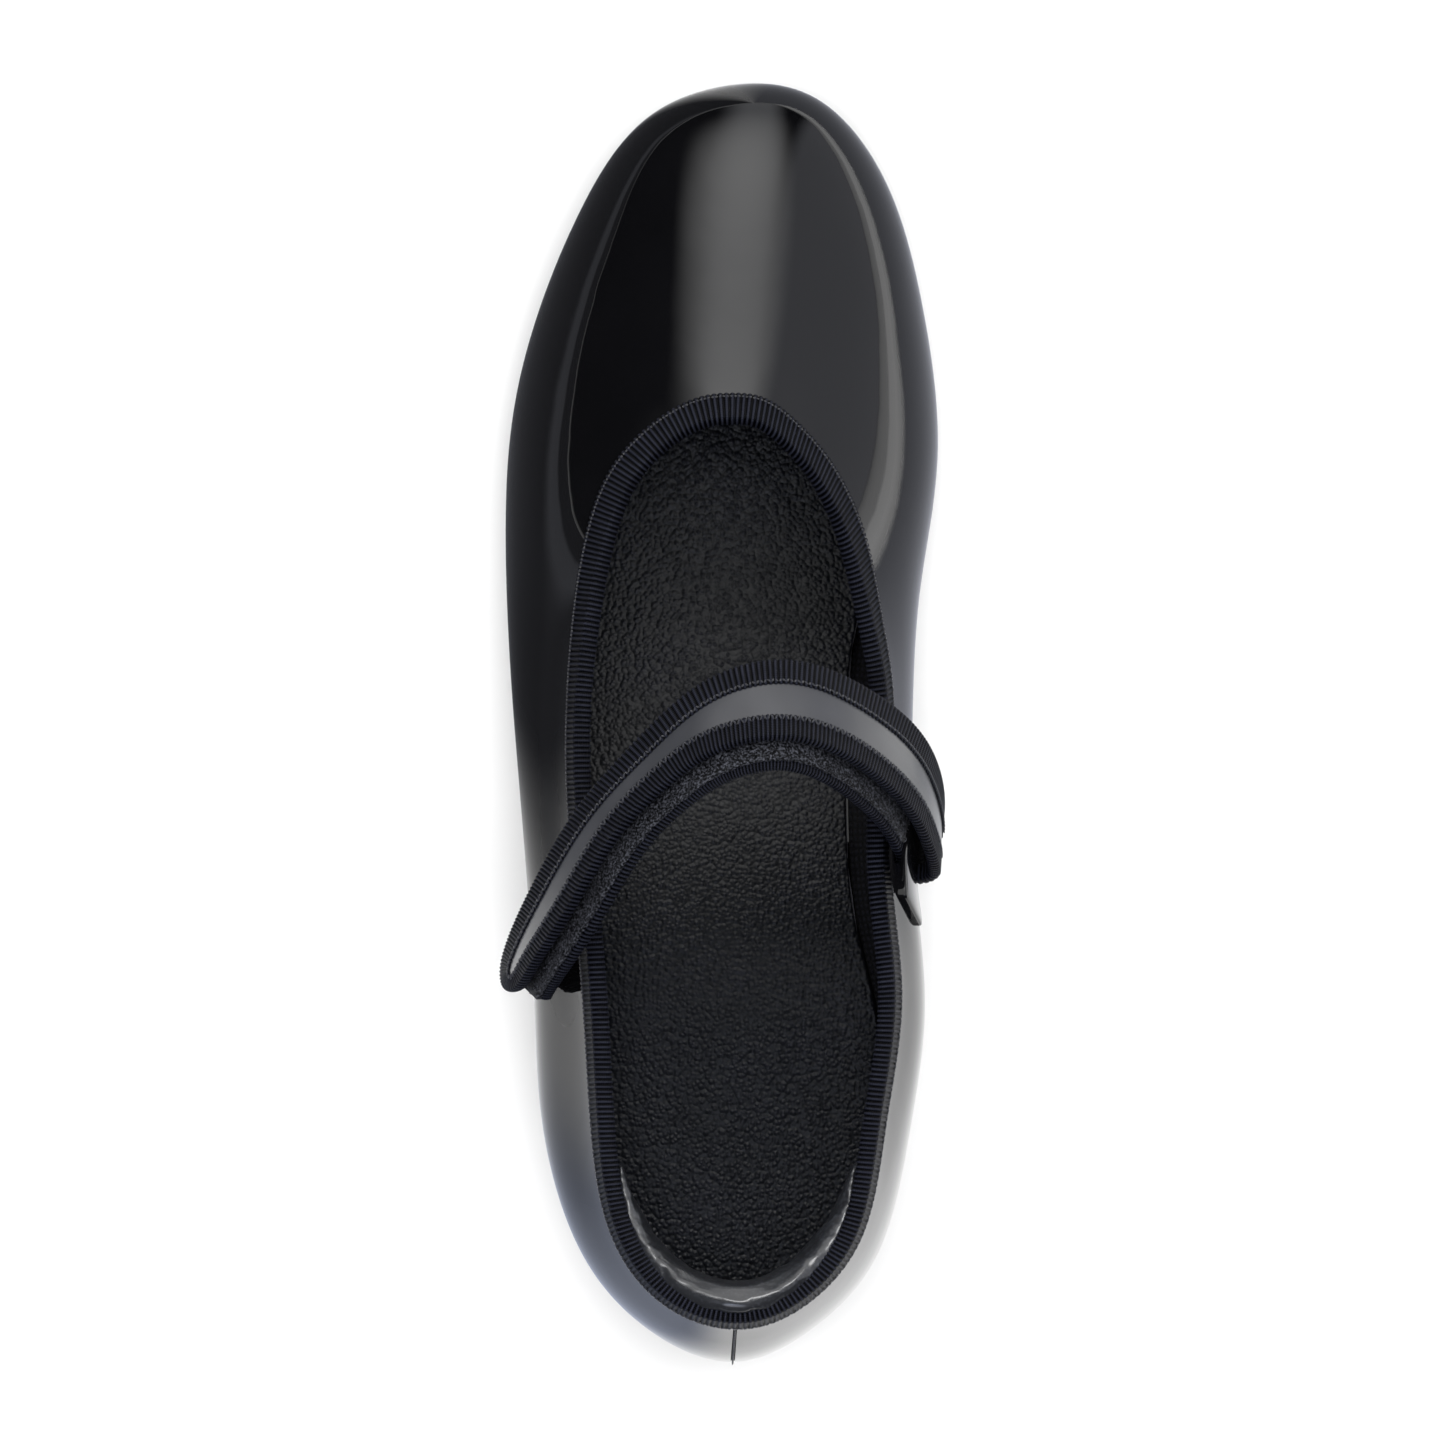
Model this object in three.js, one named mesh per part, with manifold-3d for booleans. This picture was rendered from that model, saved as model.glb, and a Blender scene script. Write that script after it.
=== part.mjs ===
// A left tap shoe with a hook-and-loop instep strap that folds back through a loop on the inner side.
// Millimetres. +Y points to the toe, +X to the inner (medial) side of the foot and +Z up.
// The origin is on the floor, under the middle of the shoe.
import * as THREE from "three";
import { mergeVertices } from "three/addons/utils/BufferGeometryUtils.js";
import Module from "manifold-3d";

const wasm = await Module();
wasm.setup();
const { smoothstep, lerp, degToRad } = THREE.MathUtils;

// ---- Driving dimensions ----
const GAP = 0.3; // air between two pieces that touch on the real shoe
const TAP = 2.2; // thickness of both tap plates
const OUTSOLE = 4.5;
const TREAD_TOP = TAP + GAP + OUTSOLE; // top of the outsole under the ball of the foot
const HEEL_LIFT = 20; // how much higher the heel seat lies than the tread
const SEAT_END = -62; // the sole's line is level behind this y,
const TREAD_START = 45; // and level again in front of this one
const TOE_SPRING = 4;
const SPRING_START = 96; // where the toe begins to rise
const SPRING_RUN = 29;
const RIM_RISE_HEEL = 15; // the widest line's height over the sole's top, behind and in front
const RIM_RISE_TOE = 9;
const TOPLINE_LOW = 55.5; // the topline's lowest height, at TOPLINE_LOW_Y; it sweeps up from there
const TOPLINE_LOW_Y = 40;
const TOPLINE_SWEEP = 870;
const FEATHER = 4.5; // how far the sole's edge lies inside the widest line,
const WAIST_FEATHER = 5; // and how much further at the waist
const HEEL_BREAST = -60; // front face of the heel
const TOP_PIECE = 5.5; // rubber layer of the heel, over the heel tap
const UPPER = 1.2; // patent upper
const LINING = 0.8;
const STIFFENER = 1.2; // toe puff and heel counter
const INSOLE_BOARD = 2.0;
const INSOLE_FOAM = 2.0;
const SOCK = 1.0;
const OUTSOLE_LEDGE = 1.8; // how far the outsole stands out past the upper's lower edge
const INSOLE_SET_BACK = 3.4; // how far the insole's layers lie inside that edge
const LASTING_MARGIN = 9; // the upper's edge turned in under the insole board
const TAPE = 0.6; // ribbed binding tape
const BINDING_LEG = 5; // width of the binding on the face that shows
const BINDING_BACK_LEG = 3.2;
const COLLAR_PAD = 6.5; // padding at the back of the heel, where it is thickest

const AROUND = 46; // steps round the upper
const ALONG = 26; // steps along a sole layer
const STRAP_STEPS = 15;
const RIM = 0.25; // the share of the wall's height parameter that lies below the widest line

// Each station is [widest x, widest y, topline x, topline y], clockwise from the toe.
const STATIONS = [
  [4.5, 124.9, 2.4, 59.7],
  [20.5, 120.6, 8.5, 58.3],
  [32.5, 104.5, 15.3, 52.3],
  [39.2, 81, 20.6, 45],
  [42.1, 53, 25.6, 33.3],
  [38.8, 27, 29.7, 17.5],
  [37.2, 2, 32, 0],
  [37.4, -27, 31.2, -27],
  [39.6, -54, 33.4, -53],
  [37, -78, 30.6, -77],
  [31, -102.5, 26, -99.5],
  [18.3, -118, 14.8, -113],
  [2, -125, 2.6, -117],
  [-15, -118.3, -10.5, -112.6],
  [-28.2, -102.5, -20.7, -98.5],
  [-35.3, -78, -24.2, -76],
  [-37, -50, -25.8, -49],
  [-39.6, -14, -28.6, -13],
  [-41.8, 16, -27.4, 15.5],
  [-42.1, 49, -21.5, 40.5],
  [-37.5, 75.5, -14, 52.3],
  [-28, 99.7, -7.6, 57.2],
  [-14.5, 118.4, -2.5, 59.3],
];

// The strap's outer face: [front edge, rear edge] from the free end on the outer side of the foot,
// over the instep, to the fold at the loop on the inner side.
const STRAP_STATIONS = [
  [[-44.6, -50.9, 47.5], [-40.6, -54.6, 61]],
  [[-42.1, -42.0, 57.5], [-36.8, -48.0, 71]],
  [[-37.0, -31.0, 68], [-29.6, -37.2, 81.5]],
  [[-28.8, -17.0, 77.5], [-20.4, -22.8, 89.5]],
  [[-17.8, -4.2, 84], [-10.0, -12.6, 94.5]],
  [[-4.5, 7.6, 87.5], [-0.4, -6.8, 97]],
  [[11.2, 12.2, 87.5], [11.5, -4.6, 96.5]],
  [[25.0, 8.5, 82.5], [22.8, -7.5, 91.5]],
  [[36.5, 0.6, 72], [31.8, -13.8, 82]],
  [[42.0, -7.5, 60.5], [38.2, -20.8, 71]],
  [[43.5, -14.0, 50], [41.9, -28.6, 58.5]],
  [[43.4, -18.0, 42.5], [42.6, -32.0, 50]],
];

// Depths below the strap's outer face, from the binding inwards.
const STRAP_PATENT = [TAPE + GAP, TAPE + GAP + 0.9];
const STRAP_LINING = [STRAP_PATENT[1] + GAP, STRAP_PATENT[1] + GAP + 0.6];
const HOOK_PAD = [STRAP_LINING[1] + GAP, STRAP_LINING[1] + GAP + 0.7];
const PILE_TAPE = [HOOK_PAD[1] + GAP, HOOK_PAD[1] + GAP + 0.8];
const UNDER_STRAP = [PILE_TAPE[1] + GAP + 0.1, PILE_TAPE[1] + GAP + 1.1];
const LOOP_PLY = 0.9;
const LOOP_TALL = 9; // the loop's extent along the strap
const LOOP_PLACE = 13; // from the fold to the middle of the loop
const LOOP_CLEARANCE = 0.5; // between the under-strap and each ply
const LOOP_TAIL = 13; // from the strap's edge to the end of the joined plies
const LOOP_TAIL_BEND = 3; // how far the tail stands off the shoe

// ---- The solids' few building blocks ----

// The closed solid between two lattices of points of the same size; a ring closes on its first row.
function solidBetween(outer, inner, ring = false) {
  const rows = outer.length;
  const cols = outer[0].length;
  const positions = [...outer.flat(), ...inner.flat()].flatMap((p) => p.toArray());
  const top = (i, j) => (i % rows) * cols + j;
  const under = (i, j) => rows * cols + top(i, j);
  const index = [];
  const quad = (a, b, c, d) => index.push(a, b, c, a, c, d);
  for (let i = 0; i < (ring ? rows : rows - 1); i++) {
    for (let j = 0; j < cols - 1; j++) {
      quad(top(i, j), top(i + 1, j), top(i + 1, j + 1), top(i, j + 1));
      quad(under(i, j), under(i, j + 1), under(i + 1, j + 1), under(i + 1, j));
    }
    quad(top(i + 1, 0), top(i, 0), under(i, 0), under(i + 1, 0));
    quad(top(i, cols - 1), top(i + 1, cols - 1), under(i + 1, cols - 1), under(i, cols - 1));
  }
  for (let j = 0; j < cols - 1 && !ring; j++) {
    quad(top(0, j), top(0, j + 1), under(0, j + 1), under(0, j));
    quad(top(rows - 1, j + 1), top(rows - 1, j), under(rows - 1, j), under(rows - 1, j + 1));
  }
  const geometry = new THREE.BufferGeometry();
  geometry.setAttribute("position", new THREE.Float32BufferAttribute(positions, 3));
  geometry.setIndex(signedVolume(positions, index) < 0 ? index.reverse() : index);
  return geometry;
}

function signedVolume(positions, index) {
  const corner = (k) => new THREE.Vector3().fromArray(positions, 3 * index[k]);
  let volume = 0;
  for (let k = 0; k < index.length; k += 3) {
    volume += corner(k).dot(corner(k + 1).cross(corner(k + 2))) / 6;
  }
  return volume;
}

function toManifold(geometry) {
  const bare = geometry.clone();
  bare.deleteAttribute("normal");
  bare.deleteAttribute("uv");
  const merged = mergeVertices(bare, 1e-3);
  const vertProperties = new Float32Array(merged.attributes.position.array);
  const triVerts = new Uint32Array(merged.index.array);
  return new wasm.Manifold(new wasm.Mesh({ numProp: 3, vertProperties, triVerts }));
}

function fromManifold(solid) {
  const mesh = solid.getMesh();
  const geometry = new THREE.BufferGeometry();
  geometry.setAttribute("position", new THREE.Float32BufferAttribute(mesh.vertProperties, 3));
  geometry.setIndex(new THREE.BufferAttribute(mesh.triVerts, 1));
  return geometry;
}

function cut(geometry, ...tools) {
  const solid = tools.reduce((left, tool) => left.subtract(toManifold(tool)), toManifold(geometry));
  return fromManifold(solid);
}

function steps(from, to, count) {
  return Array.from({ length: count + 1 }, (_, i) => lerp(from, to, i / count));
}

// Steps that crowd towards both ends, for outlines with round ends.
const roundSteps = (from, to, count) =>
  steps(0, Math.PI, count).map((angle) => lerp(from, to, (1 - Math.cos(angle)) / 2));

// ---- The last: the sole's line and the upper's skin ----

const curveThrough = (points, closed) => new THREE.CatmullRomCurve3(points, closed, "catmullrom", 0.5);
const rimCurve = curveThrough(STATIONS.map(([x, y]) => new THREE.Vector3(x, y, 0)), true);
const toplineCurve = curveThrough(STATIONS.map(([, , x, y]) => new THREE.Vector3(x, y, 0)), true);

// Height of the outsole's top: flat tread, toe spring and the rise to the heel seat.
function soleTop(y) {
  const spring = TOE_SPRING * Math.max(0, (y - SPRING_START) / SPRING_RUN) ** 2;
  return TREAD_TOP + HEEL_LIFT * (1 - smoothstep(y, SEAT_END, TREAD_START)) + spring;
}
const rimHeight = (y) => soleTop(y) + lerp(RIM_RISE_HEEL, RIM_RISE_TOE, smoothstep(y, 0, 70));
const toplineHeight = (y) => TOPLINE_LOW + (TOPLINE_LOW_Y - y) ** 2 / TOPLINE_SWEEP;
const featherInset = (y) => FEATHER + WAIST_FEATHER * (smoothstep(y, -75, -30) - smoothstep(y, 5, 50));

function inwardAt(s) {
  const tangent = rimCurve.getTangent(s);
  return new THREE.Vector3(tangent.y, -tangent.x, 0).normalize();
}

// The wall leans in steeply beside the foot and lies flat over the toes, in degrees from level.
const SIDE_LEAN = 77;
const VAMP_LEAN = 24;
const SHOULDER = 0.42; // height share at which the wall begins to turn in
const APPROACH = 0.4; // share of the wall's span over which it settles into its lean

// A point of the upper's outer face. s goes round the shoe from the toe; v goes from the sole's edge
// at 0 over the widest line at RIM to the topline at 1, and below 0 along the lasting margin.
function skin(s, v) {
  const around = ((s % 1) + 1) % 1;
  const rim = rimCurve.getPoint(around);
  const inward = inwardAt(around);
  const feather = featherInset(rim.y);
  if (v <= RIM) {
    const angle = (Math.PI / 2) * Math.max(0, v / RIM);
    const inset = feather * (1 - Math.sin(angle)) + LASTING_MARGIN * Math.max(0, -v);
    const point = rim.clone().addScaledVector(inward, inset);
    const base = soleTop(point.y) + GAP;
    point.z = base + (rimHeight(rim.y) - base) * (1 - Math.cos(angle));
    return point;
  }
  const edge = toplineCurve.getPoint(around);
  rim.z = rimHeight(rim.y);
  edge.z = toplineHeight(edge.y);
  const lean = degToRad(lerp(SIDE_LEAN, VAMP_LEAN, smoothstep(edge.y, 0, 60)));
  const outward = rim.clone().sub(edge).setZ(0).normalize();
  const arrive = outward.multiplyScalar(Math.cos(lean)).setZ(-Math.sin(lean));
  const shoulder = rim.clone().setZ(lerp(rim.z, edge.z, SHOULDER));
  const approach = edge.clone().addScaledVector(arrive, APPROACH * rim.distanceTo(edge));
  const t = (v - RIM) / (1 - RIM);
  return new THREE.CubicBezierCurve3(rim, shoulder, approach, edge).getPoint(t);
}

// The skin's outward normal; topline tangents are taken from just below the edge.
function skinNormal(s, v) {
  const step = 1e-3;
  const high = Math.min(v, 1 - step);
  const up = skin(s, high + step).sub(skin(s, high - step));
  const along = skin(s + step, high).sub(skin(s - step, high));
  return up.cross(along).normalize();
}
const skinAt = (s, v, depth) => skin(s, v).addScaledVector(skinNormal(s, v), -depth);

// A layer of the wall between two depths, over a stretch s0..s1 and a list of heights v.
function wallLayer(sSteps, vSteps, outerDepth, innerDepth, ring = false) {
  const lattice = (depth) => sSteps.map((s) => vSteps.map((v) => skinAt(s, v, depth(s, v))));
  return solidBetween(lattice(outerDepth), lattice(innerDepth), ring);
}
const wholeWay = steps(0, 1, AROUND).slice(0, AROUND);
const station = (index) => index / STATIONS.length;
// The upper's own steps from one station to another, so that neighbouring layers share their facets.
const stretch = (from, to) => steps(from, to, Math.round((to - from) * AROUND));

// ---- Sole layers: plates between two heights inside the widest line ----

// The outline drawn "inset" inside the widest line.
function insetLoop(inset) {
  return steps(0, 1, 240).map((s) => {
    const rim = rimCurve.getPoint(s % 1);
    return rim.addScaledVector(inwardAt(s % 1), inset(rim.y));
  });
}

// Left and right x of an outline at one y.
function spanAt(loop, y) {
  const crossings = loop.slice(1).flatMap((b, i) => {
    const a = loop[i];
    const between = (a.y - y) * (b.y - y) <= 0 && a.y !== b.y;
    return between ? [lerp(a.x, b.x, (y - a.y) / (b.y - a.y))] : [];
  });
  return [Math.min(...crossings), Math.max(...crossings)];
}

// A plate between yBack and yFront, or as far as its outline reaches.
function plate(yBack, yFront, topInset, bottomInset, zTop, zBottom, count = ALONG) {
  const face = (inset, z) => {
    const loop = insetLoop(inset);
    const reach = loop.map((p) => p.y);
    const back = Math.max(yBack, Math.min(...reach) + 0.2);
    const front = Math.min(yFront, Math.max(...reach) - 0.2);
    const row = (y) => spanAt(loop, y).map((x) => new THREE.Vector3(x, y, z(y)));
    return roundSteps(back, front, count).map(row);
  };
  return solidBetween(face(topInset, zTop), face(bottomInset, zBottom));
}

// A plate that keeps one outline through its thickness, "rise" above the outsole's top.
function soleLayer(yBack, yFront, inset, rise, thickness, count = ALONG) {
  const under = (y) => soleTop(y) + rise;
  const over = (y) => under(y) + thickness;
  return plate(yBack, yFront, inset, inset, over, under, count);
}

const WHOLE_SOLE = [-130, 130]; // y limits beyond both ends of the sole
const outsoleInset = (y) => featherInset(y) - OUTSOLE_LEDGE;
const insoleInset = (y) => featherInset(y) + INSOLE_SET_BACK;
const boardRise = GAP + UPPER + GAP;
const foamRise = boardRise + INSOLE_BOARD + GAP;
const sockRise = foamRise + INSOLE_FOAM + GAP;
const heelSeat = soleTop(HEEL_BREAST - 10);
const blockTop = heelSeat - OUTSOLE - GAP;
const blockBottom = TAP + GAP + TOP_PIECE + GAP;

// ---- Screws and nails ----

// A body of revolution standing on z; its profile is [radius, height] pairs from the axis to the axis.
function turned(profile, sides, x, y, z) {
  const points = profile.map(([radius, height]) => new THREE.Vector2(radius, height));
  return new THREE.LatheGeometry(points, sides).rotateX(Math.PI / 2).translate(x, y, z);
}

// A countersunk screw pointing up; "swell" widens it into the hole that clears it.
function screw(x, y, z, length, swell = 0) {
  const head = 3 + swell;
  const shank = 1.3 + swell;
  const tip = length + swell;
  const profile = [[0, -swell], [head, -swell], [head, 0.3], [shank, 2], [shank, tip], [0, tip]];
  return turned(profile, 10, x, y, z);
}

// A clout nail pointing down from its head.
function nail(x, y, z, length, swell = 0) {
  const head = 2.4 + swell;
  const shank = 0.9 + swell;
  const tip = -length - swell;
  const neck = -0.8 - swell;
  const profile = [[0, tip], [shank, tip], [shank, neck], [head, neck], [head, 0], [0, 0]];
  return turned(profile, 8, x, y, z);
}

const SCREW_RECESS = 0.25; // how far the screw heads lie below the taps' faces
const toeScrews = [[3.5, 111], [-24, 77], [27, 75]].map(([x, y]) => ({
  at: [x, y, soleTop(y) - TREAD_TOP + SCREW_RECESS],
  length: 5.2,
}));
const heelScrews = [[2, -112], [-15, -84], [18, -84]].map(([x, y]) => ({
  at: [x, y, SCREW_RECESS],
  length: 11.5,
}));
const nailTop = heelSeat + boardRise + INSOLE_BOARD - 0.2;
const heelNails = [[2, -104], [-13, -74], [16, -74]].map(([x, y]) => ({ at: [x, y, nailTop], length: 14 }));
const holesFor = (screws) => screws.map(({ at, length }) => screw(...at, length, GAP));
const nailHoles = heelNails.map(({ at, length }) => nail(...at, length, GAP));
// Wells in the insole board that leave the nail heads open above.
const openNailHeads = heelNails.map(({ at }) => turned([[0, -1], [2.7, -1], [2.7, 2], [0, 2]], 8, ...at));

// ---- Binding tape, folded over an edge ----

// "frames" are functions (distance in from the edge, depth) => point; the tape wraps the depths top..bottom.
function edgeTape(frames, top, bottom, leg = BINDING_LEG, backLeg = BINDING_BACK_LEG, ring = false) {
  const chain = (out) => [
    [leg, top - out],
    [0.45 * leg, top - out],
    [0, top - out],
    [-out, lerp(top, bottom, 0.25)],
    [-out, lerp(top, bottom, 0.75)],
    [0, bottom + out],
    [backLeg, bottom + out],
  ];
  const section = (frame, out) => chain(out).map(([distance, depth]) => frame(distance, depth));
  const lattice = (out) => frames.map((frame) => section(frame, out));
  return solidBetween(lattice(GAP + TAPE), lattice(GAP), ring);
}

function toplineFrame(s) {
  const edge = skin(s, 1);
  const perUnit = edge.distanceTo(skin(s, 0.95)) / 0.05;
  const rise = edge.clone().sub(skin(s, 0.98)).normalize();
  return (distance, depth) => {
    const onSkin = skinAt(s, 1 - Math.max(0, distance) / perUnit, depth);
    return onSkin.addScaledVector(rise, Math.max(0, -distance));
  };
}

// ---- The strap ----

function strapEdge(side) {
  return curveThrough(STRAP_STATIONS.map((pair) => new THREE.Vector3(...pair[side])), false);
}
const strapFront = strapEdge(0);
const strapRear = strapEdge(1);

// A point of the strap's outer face: u from the free end to the fold, w from the front to the rear edge.
function strapFace(u, w) {
  const inside = THREE.MathUtils.clamp(u, 0, 1);
  return strapFront.getPoint(inside).lerp(strapRear.getPoint(inside), w);
}
function strapNormal(u) {
  const along = strapFace(u + 0.01, 0.5).sub(strapFace(u - 0.01, 0.5));
  const across = strapFace(u, 1).sub(strapFace(u, 0));
  return across.cross(along).normalize();
}
const strapAt = (u, w, depth) => strapFace(u, w).addScaledVector(strapNormal(u), -depth);
const strapWidth = (u) => strapFace(u, 0).distanceTo(strapFace(u, 1));
const strapLength = steps(0, 1, 60).slice(1).reduce(
  (sum, u) => sum + strapFace(u, 0.5).distanceTo(strapFace(u - 1 / 60, 0.5)), 0);
const uOf = (length) => length / strapLength;

// Share of the full width that the rounded free end has at u.
const END_ROUND = 8;
function endShare(u) {
  const share = Math.min(1, u / uOf(END_ROUND));
  return (1 - (1 - share) ** 2.3) ** (1 / 2.3);
}

function strapLayer(uSteps, w0, w1, [outer, inner], share = () => 1) {
  const lattice = (depth) =>
    uSteps.map((u) => [w0, w1].map((w) => strapAt(u, 0.5 + (w - 0.5) * share(u), depth)));
  return solidBetween(lattice(outer), lattice(inner));
}

// A frame for tape on the edge w at u; "sign" is 1 where the strap lies at greater w.
function strapFrame(u, w, sign) {
  const width = strapWidth(u);
  return (distance, depth) => strapAt(u, w + (sign * distance) / width, depth);
}

const INNER_EDGE = 0.045; // the strap's own plies stop this share of the width short of the tape's fold
const END_SPLIT = uOf(34); // where the free end hinges
const SPLIT_GAP = uOf(0.2); // half of the air between the free end and the rest of the strap
const FOLD_START = 1 - uOf(2.2);
const UNDER_FROM = 0.03; // the under-strap's edges, as shares of the strap's width: it shows behind the strap
const UNDER_TO = 1.1;
const PILE_TO = 1.02;
const UNDER_LEG = 1.1; // width of the under-strap binding's upper leg
const UNDER_BACK_LEG = 3;
const HOOK_RUN = [8, 31]; // the hook tape's ends, from the tip of the strap
const HOOK_ACROSS = [0.28, 0.72]; // and its edges, as shares of the width
const bodySteps = steps(END_SPLIT + SPLIT_GAP, FOLD_START, STRAP_STEPS);
const PLY_SHORT = uOf(1.4); // how far the plies stop short of the binding's fold at the tip
const plyShare = (u) => endShare(Math.max(0, u - PLY_SHORT));
const endSteps = [0.1, 0.3, 0.6, 1].map((k) => PLY_SHORT + uOf(k * END_ROUND))
  .concat(steps(uOf(13), END_SPLIT - SPLIT_GAP, 4));
const plies = [STRAP_PATENT[0], STRAP_LINING[1]];

// The free end's binding runs down the rear edge, round the tip and back up the front edge.
function endBinding() {
  const tip = [0.35, 0.75].map((k) => uOf(k * END_ROUND));
  const rows = [...steps(END_SPLIT - SPLIT_GAP, uOf(END_ROUND), 5), tip[1], tip[0]];
  const side = (sign) => rows.map((u) => {
    const edge = 0.5 - sign * (0.5 - INNER_EDGE) * endShare(u);
    return strapFrame(u, edge, sign);
  });
  const nose = (distance, depth) => strapAt(uOf(0.9 + distance), 0.5, depth);
  const end = (k) => (distance, depth) => {
    const from = strapAt(uOf(1.1), 0.5 + k, depth);
    const to = strapAt(uOf(1.1 + Math.max(distance, 0)), 0.5 + 0.6 * k, depth);
    const over = strapAt(uOf(1.1), 0.5 + k, depth).sub(strapAt(uOf(2.1), 0.5 + k, depth));
    return distance < 0 ? from.addScaledVector(over.normalize(), -distance) : to;
  };
  return edgeTape([...side(-1), end(0.2), nose, end(-0.2), ...side(1).reverse()], ...plies);
}

// The patent loop: a flat ring round the under-strap, with its plies joined in a tail at the rear.
function strapLoop() {
  const u = 1 - uOf(LOOP_PLACE);
  const middle = lerp(UNDER_STRAP[0], UNDER_STRAP[1], 0.5);
  const half = strapWidth(u) / 2;
  const slot = (UNDER_STRAP[1] - UNDER_STRAP[0]) / 2 + LOOP_CLEARANCE;
  const power = (value, exponent) => Math.sign(value) * Math.abs(value) ** exponent;
  const ringRow = (front, rear, thick, angle) => {
    const a = (Math.cos(angle) > 0 ? rear : front) * power(Math.cos(angle), 0.55);
    const bend = LOOP_TAIL_BEND * Math.max(0, (a - half) / LOOP_TAIL) ** 1.5;
    const depth = middle - bend - thick * power(Math.sin(angle), 0.4);
    return [-0.5, 0.5].map((share) => strapAt(u + uOf(share * LOOP_TALL), 0.5 + a / strapWidth(u), depth));
  };
  const angles = steps(0, 2 * Math.PI, 24).slice(0, 24);
  return solidBetween(
    angles.map((angle) => ringRow(half + 2.4, half + LOOP_TAIL, slot + LOOP_PLY, angle)),
    angles.map((angle) => ringRow(half + 1.4, half + 5, slot, angle)),
    true,
  );
}

// ---- Materials ----

function material(color, roughness, metalness = 0) {
  return new THREE.MeshStandardMaterial({ color, roughness, metalness });
}
const patent = material("#0b0b0d", 0.08);
const grosgrain = material("#1d1e26", 0.8);
const knit = material("#14161c", 0.9);
const sockLeather = material("#171b28", 0.6);
const padCover = material("#0d0d10", 0.3);
const pile = material("#1a1b20", 1);
const board = material("#8d7a5f", 0.9);
const foam = material("#3b3b40", 1);
const rubber = material("#121212", 0.85);
const leather = material("#2a2018", 0.7);
const thermoplastic = material("#d8d2c4", 0.6);
const aluminium = material("#b9bcc0", 0.3, 1);
const steel = material("#9a9da1", 0.35, 1);

// ---- The shoe's pieces ----

const shoe = new THREE.Group();
function add(name, geometry, finish) {
  const mesh = new THREE.Mesh(geometry, finish);
  mesh.name = name;
  shoe.add(mesh);
}

const HEEL_FROM = station(9);
const HEEL_TO = station(15);
const TOE_FROM = station(-2.5);
const TOE_TO = station(2.5);

// 1 where a stiffener lies between the upper and the lining, 0 elsewhere, with soft borders.
function stiffened(s, v) {
  const reach = station(0.6);
  const signed = s > 0.5 ? s - 1 : s;
  const within = (value, from, to) =>
    smoothstep(value, from - reach, from) * (1 - smoothstep(value, to, to + reach));
  const heel = within(s, HEEL_FROM, HEEL_TO) * (1 - smoothstep(v, 0.82, 0.92));
  const toe = within(signed, TOE_FROM, TOE_TO) * (1 - smoothstep(v, 0.58, 0.72));
  return Math.max(heel, toe);
}
const liningOuter = (s, v) => UPPER + GAP + (STIFFENER + GAP) * stiffened(s, v);
const liningInner = (s, v) => liningOuter(s, v) + LINING;
const wallSteps = [0, 0.12, RIM, 0.36, 0.48, 0.61, 0.75, 0.88, 1];

const BINDING_EASE = 0.25; // extra room inside the topline binding

function addUpper() {
  add("upper", wallLayer(wholeWay, [-1, ...wallSteps], () => 0, () => UPPER, true), patent);
  add("quarter_lining", wallLayer(wholeWay, wallSteps.slice(1), liningOuter, liningInner, true), knit);
  const stiffener = [() => UPPER + GAP, () => UPPER + GAP + STIFFENER];
  const toe = stretch(TOE_FROM, TOE_TO);
  add("toe_puff", wallLayer(toe, wallSteps.slice(1, 5), ...stiffener), thermoplastic);
  const heel = stretch(HEEL_FROM, HEEL_TO);
  add("heel_counter", wallLayer(heel, wallSteps.slice(1, 7), ...stiffener), thermoplastic);
  const wrapped = [0, UPPER + GAP + LINING + BINDING_EASE];
  const frames = wholeWay.map(toplineFrame);
  add("topline_binding", edgeTape(frames, ...wrapped, BINDING_LEG, BINDING_BACK_LEG, true), grosgrain);
}

function addCollarPad() {
  const outer = UPPER + GAP + STIFFENER + GAP + LINING + GAP;
  const from = station(9.5);
  const to = station(14.5);
  const full = (s) => 0.3 + COLLAR_PAD * Math.sin((Math.PI * (s - from)) / (to - from)) ** 0.8;
  const swell = (v) => 0.25 + 0.75 * Math.sin((Math.PI * (v - 0.52)) / 0.46) ** 0.6;
  const inner = (s, v) => outer + full(s) * (v < 0.53 || v > 0.97 ? 0.25 : swell(v));
  const padSteps = [0.52, 0.58, 0.68, 0.78, 0.88, 0.95, 0.98];
  add("collar_pad", wallLayer(stretch(from, to), padSteps, () => outer, inner), padCover);
}

function addSoles() {
  const outsole = soleLayer(...WHOLE_SOLE, outsoleInset, -OUTSOLE, OUTSOLE);
  add("outsole", cut(outsole, ...holesFor(toeScrews), ...nailHoles), leather);
  const boardPlate = soleLayer(...WHOLE_SOLE, insoleInset, boardRise, INSOLE_BOARD);
  add("insole_board", cut(boardPlate, ...nailHoles, ...openNailHeads), board);
  add("insole_foam", soleLayer(...WHOLE_SOLE, insoleInset, foamRise, INSOLE_FOAM), foam);
  add("sock_liner", soleLayer(...WHOLE_SOLE, insoleInset, sockRise, SOCK), sockLeather);
  const fillerInset = (y) => featherInset(y) + LASTING_MARGIN + 1;
  add("bottom_filler", soleLayer(24, 110, fillerInset, GAP, UPPER, 12), foam);
  add("shank", shankPlate(), steel);
}

// A steel strip under the insole board, from the heel seat to the waist.
function shankPlate() {
  const width = 12;
  const middle = 2;
  const corner = (side, y, rise) => new THREE.Vector3(middle + (side * width) / 2, y, soleTop(y) + rise);
  const row = (y, rise) => [corner(-1, y, rise), corner(1, y, rise)];
  const ys = steps(-68, 20, 14);
  return solidBetween(
    ys.map((y) => row(y, GAP + UPPER)),
    ys.map((y) => row(y, GAP)),
  );
}

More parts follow.
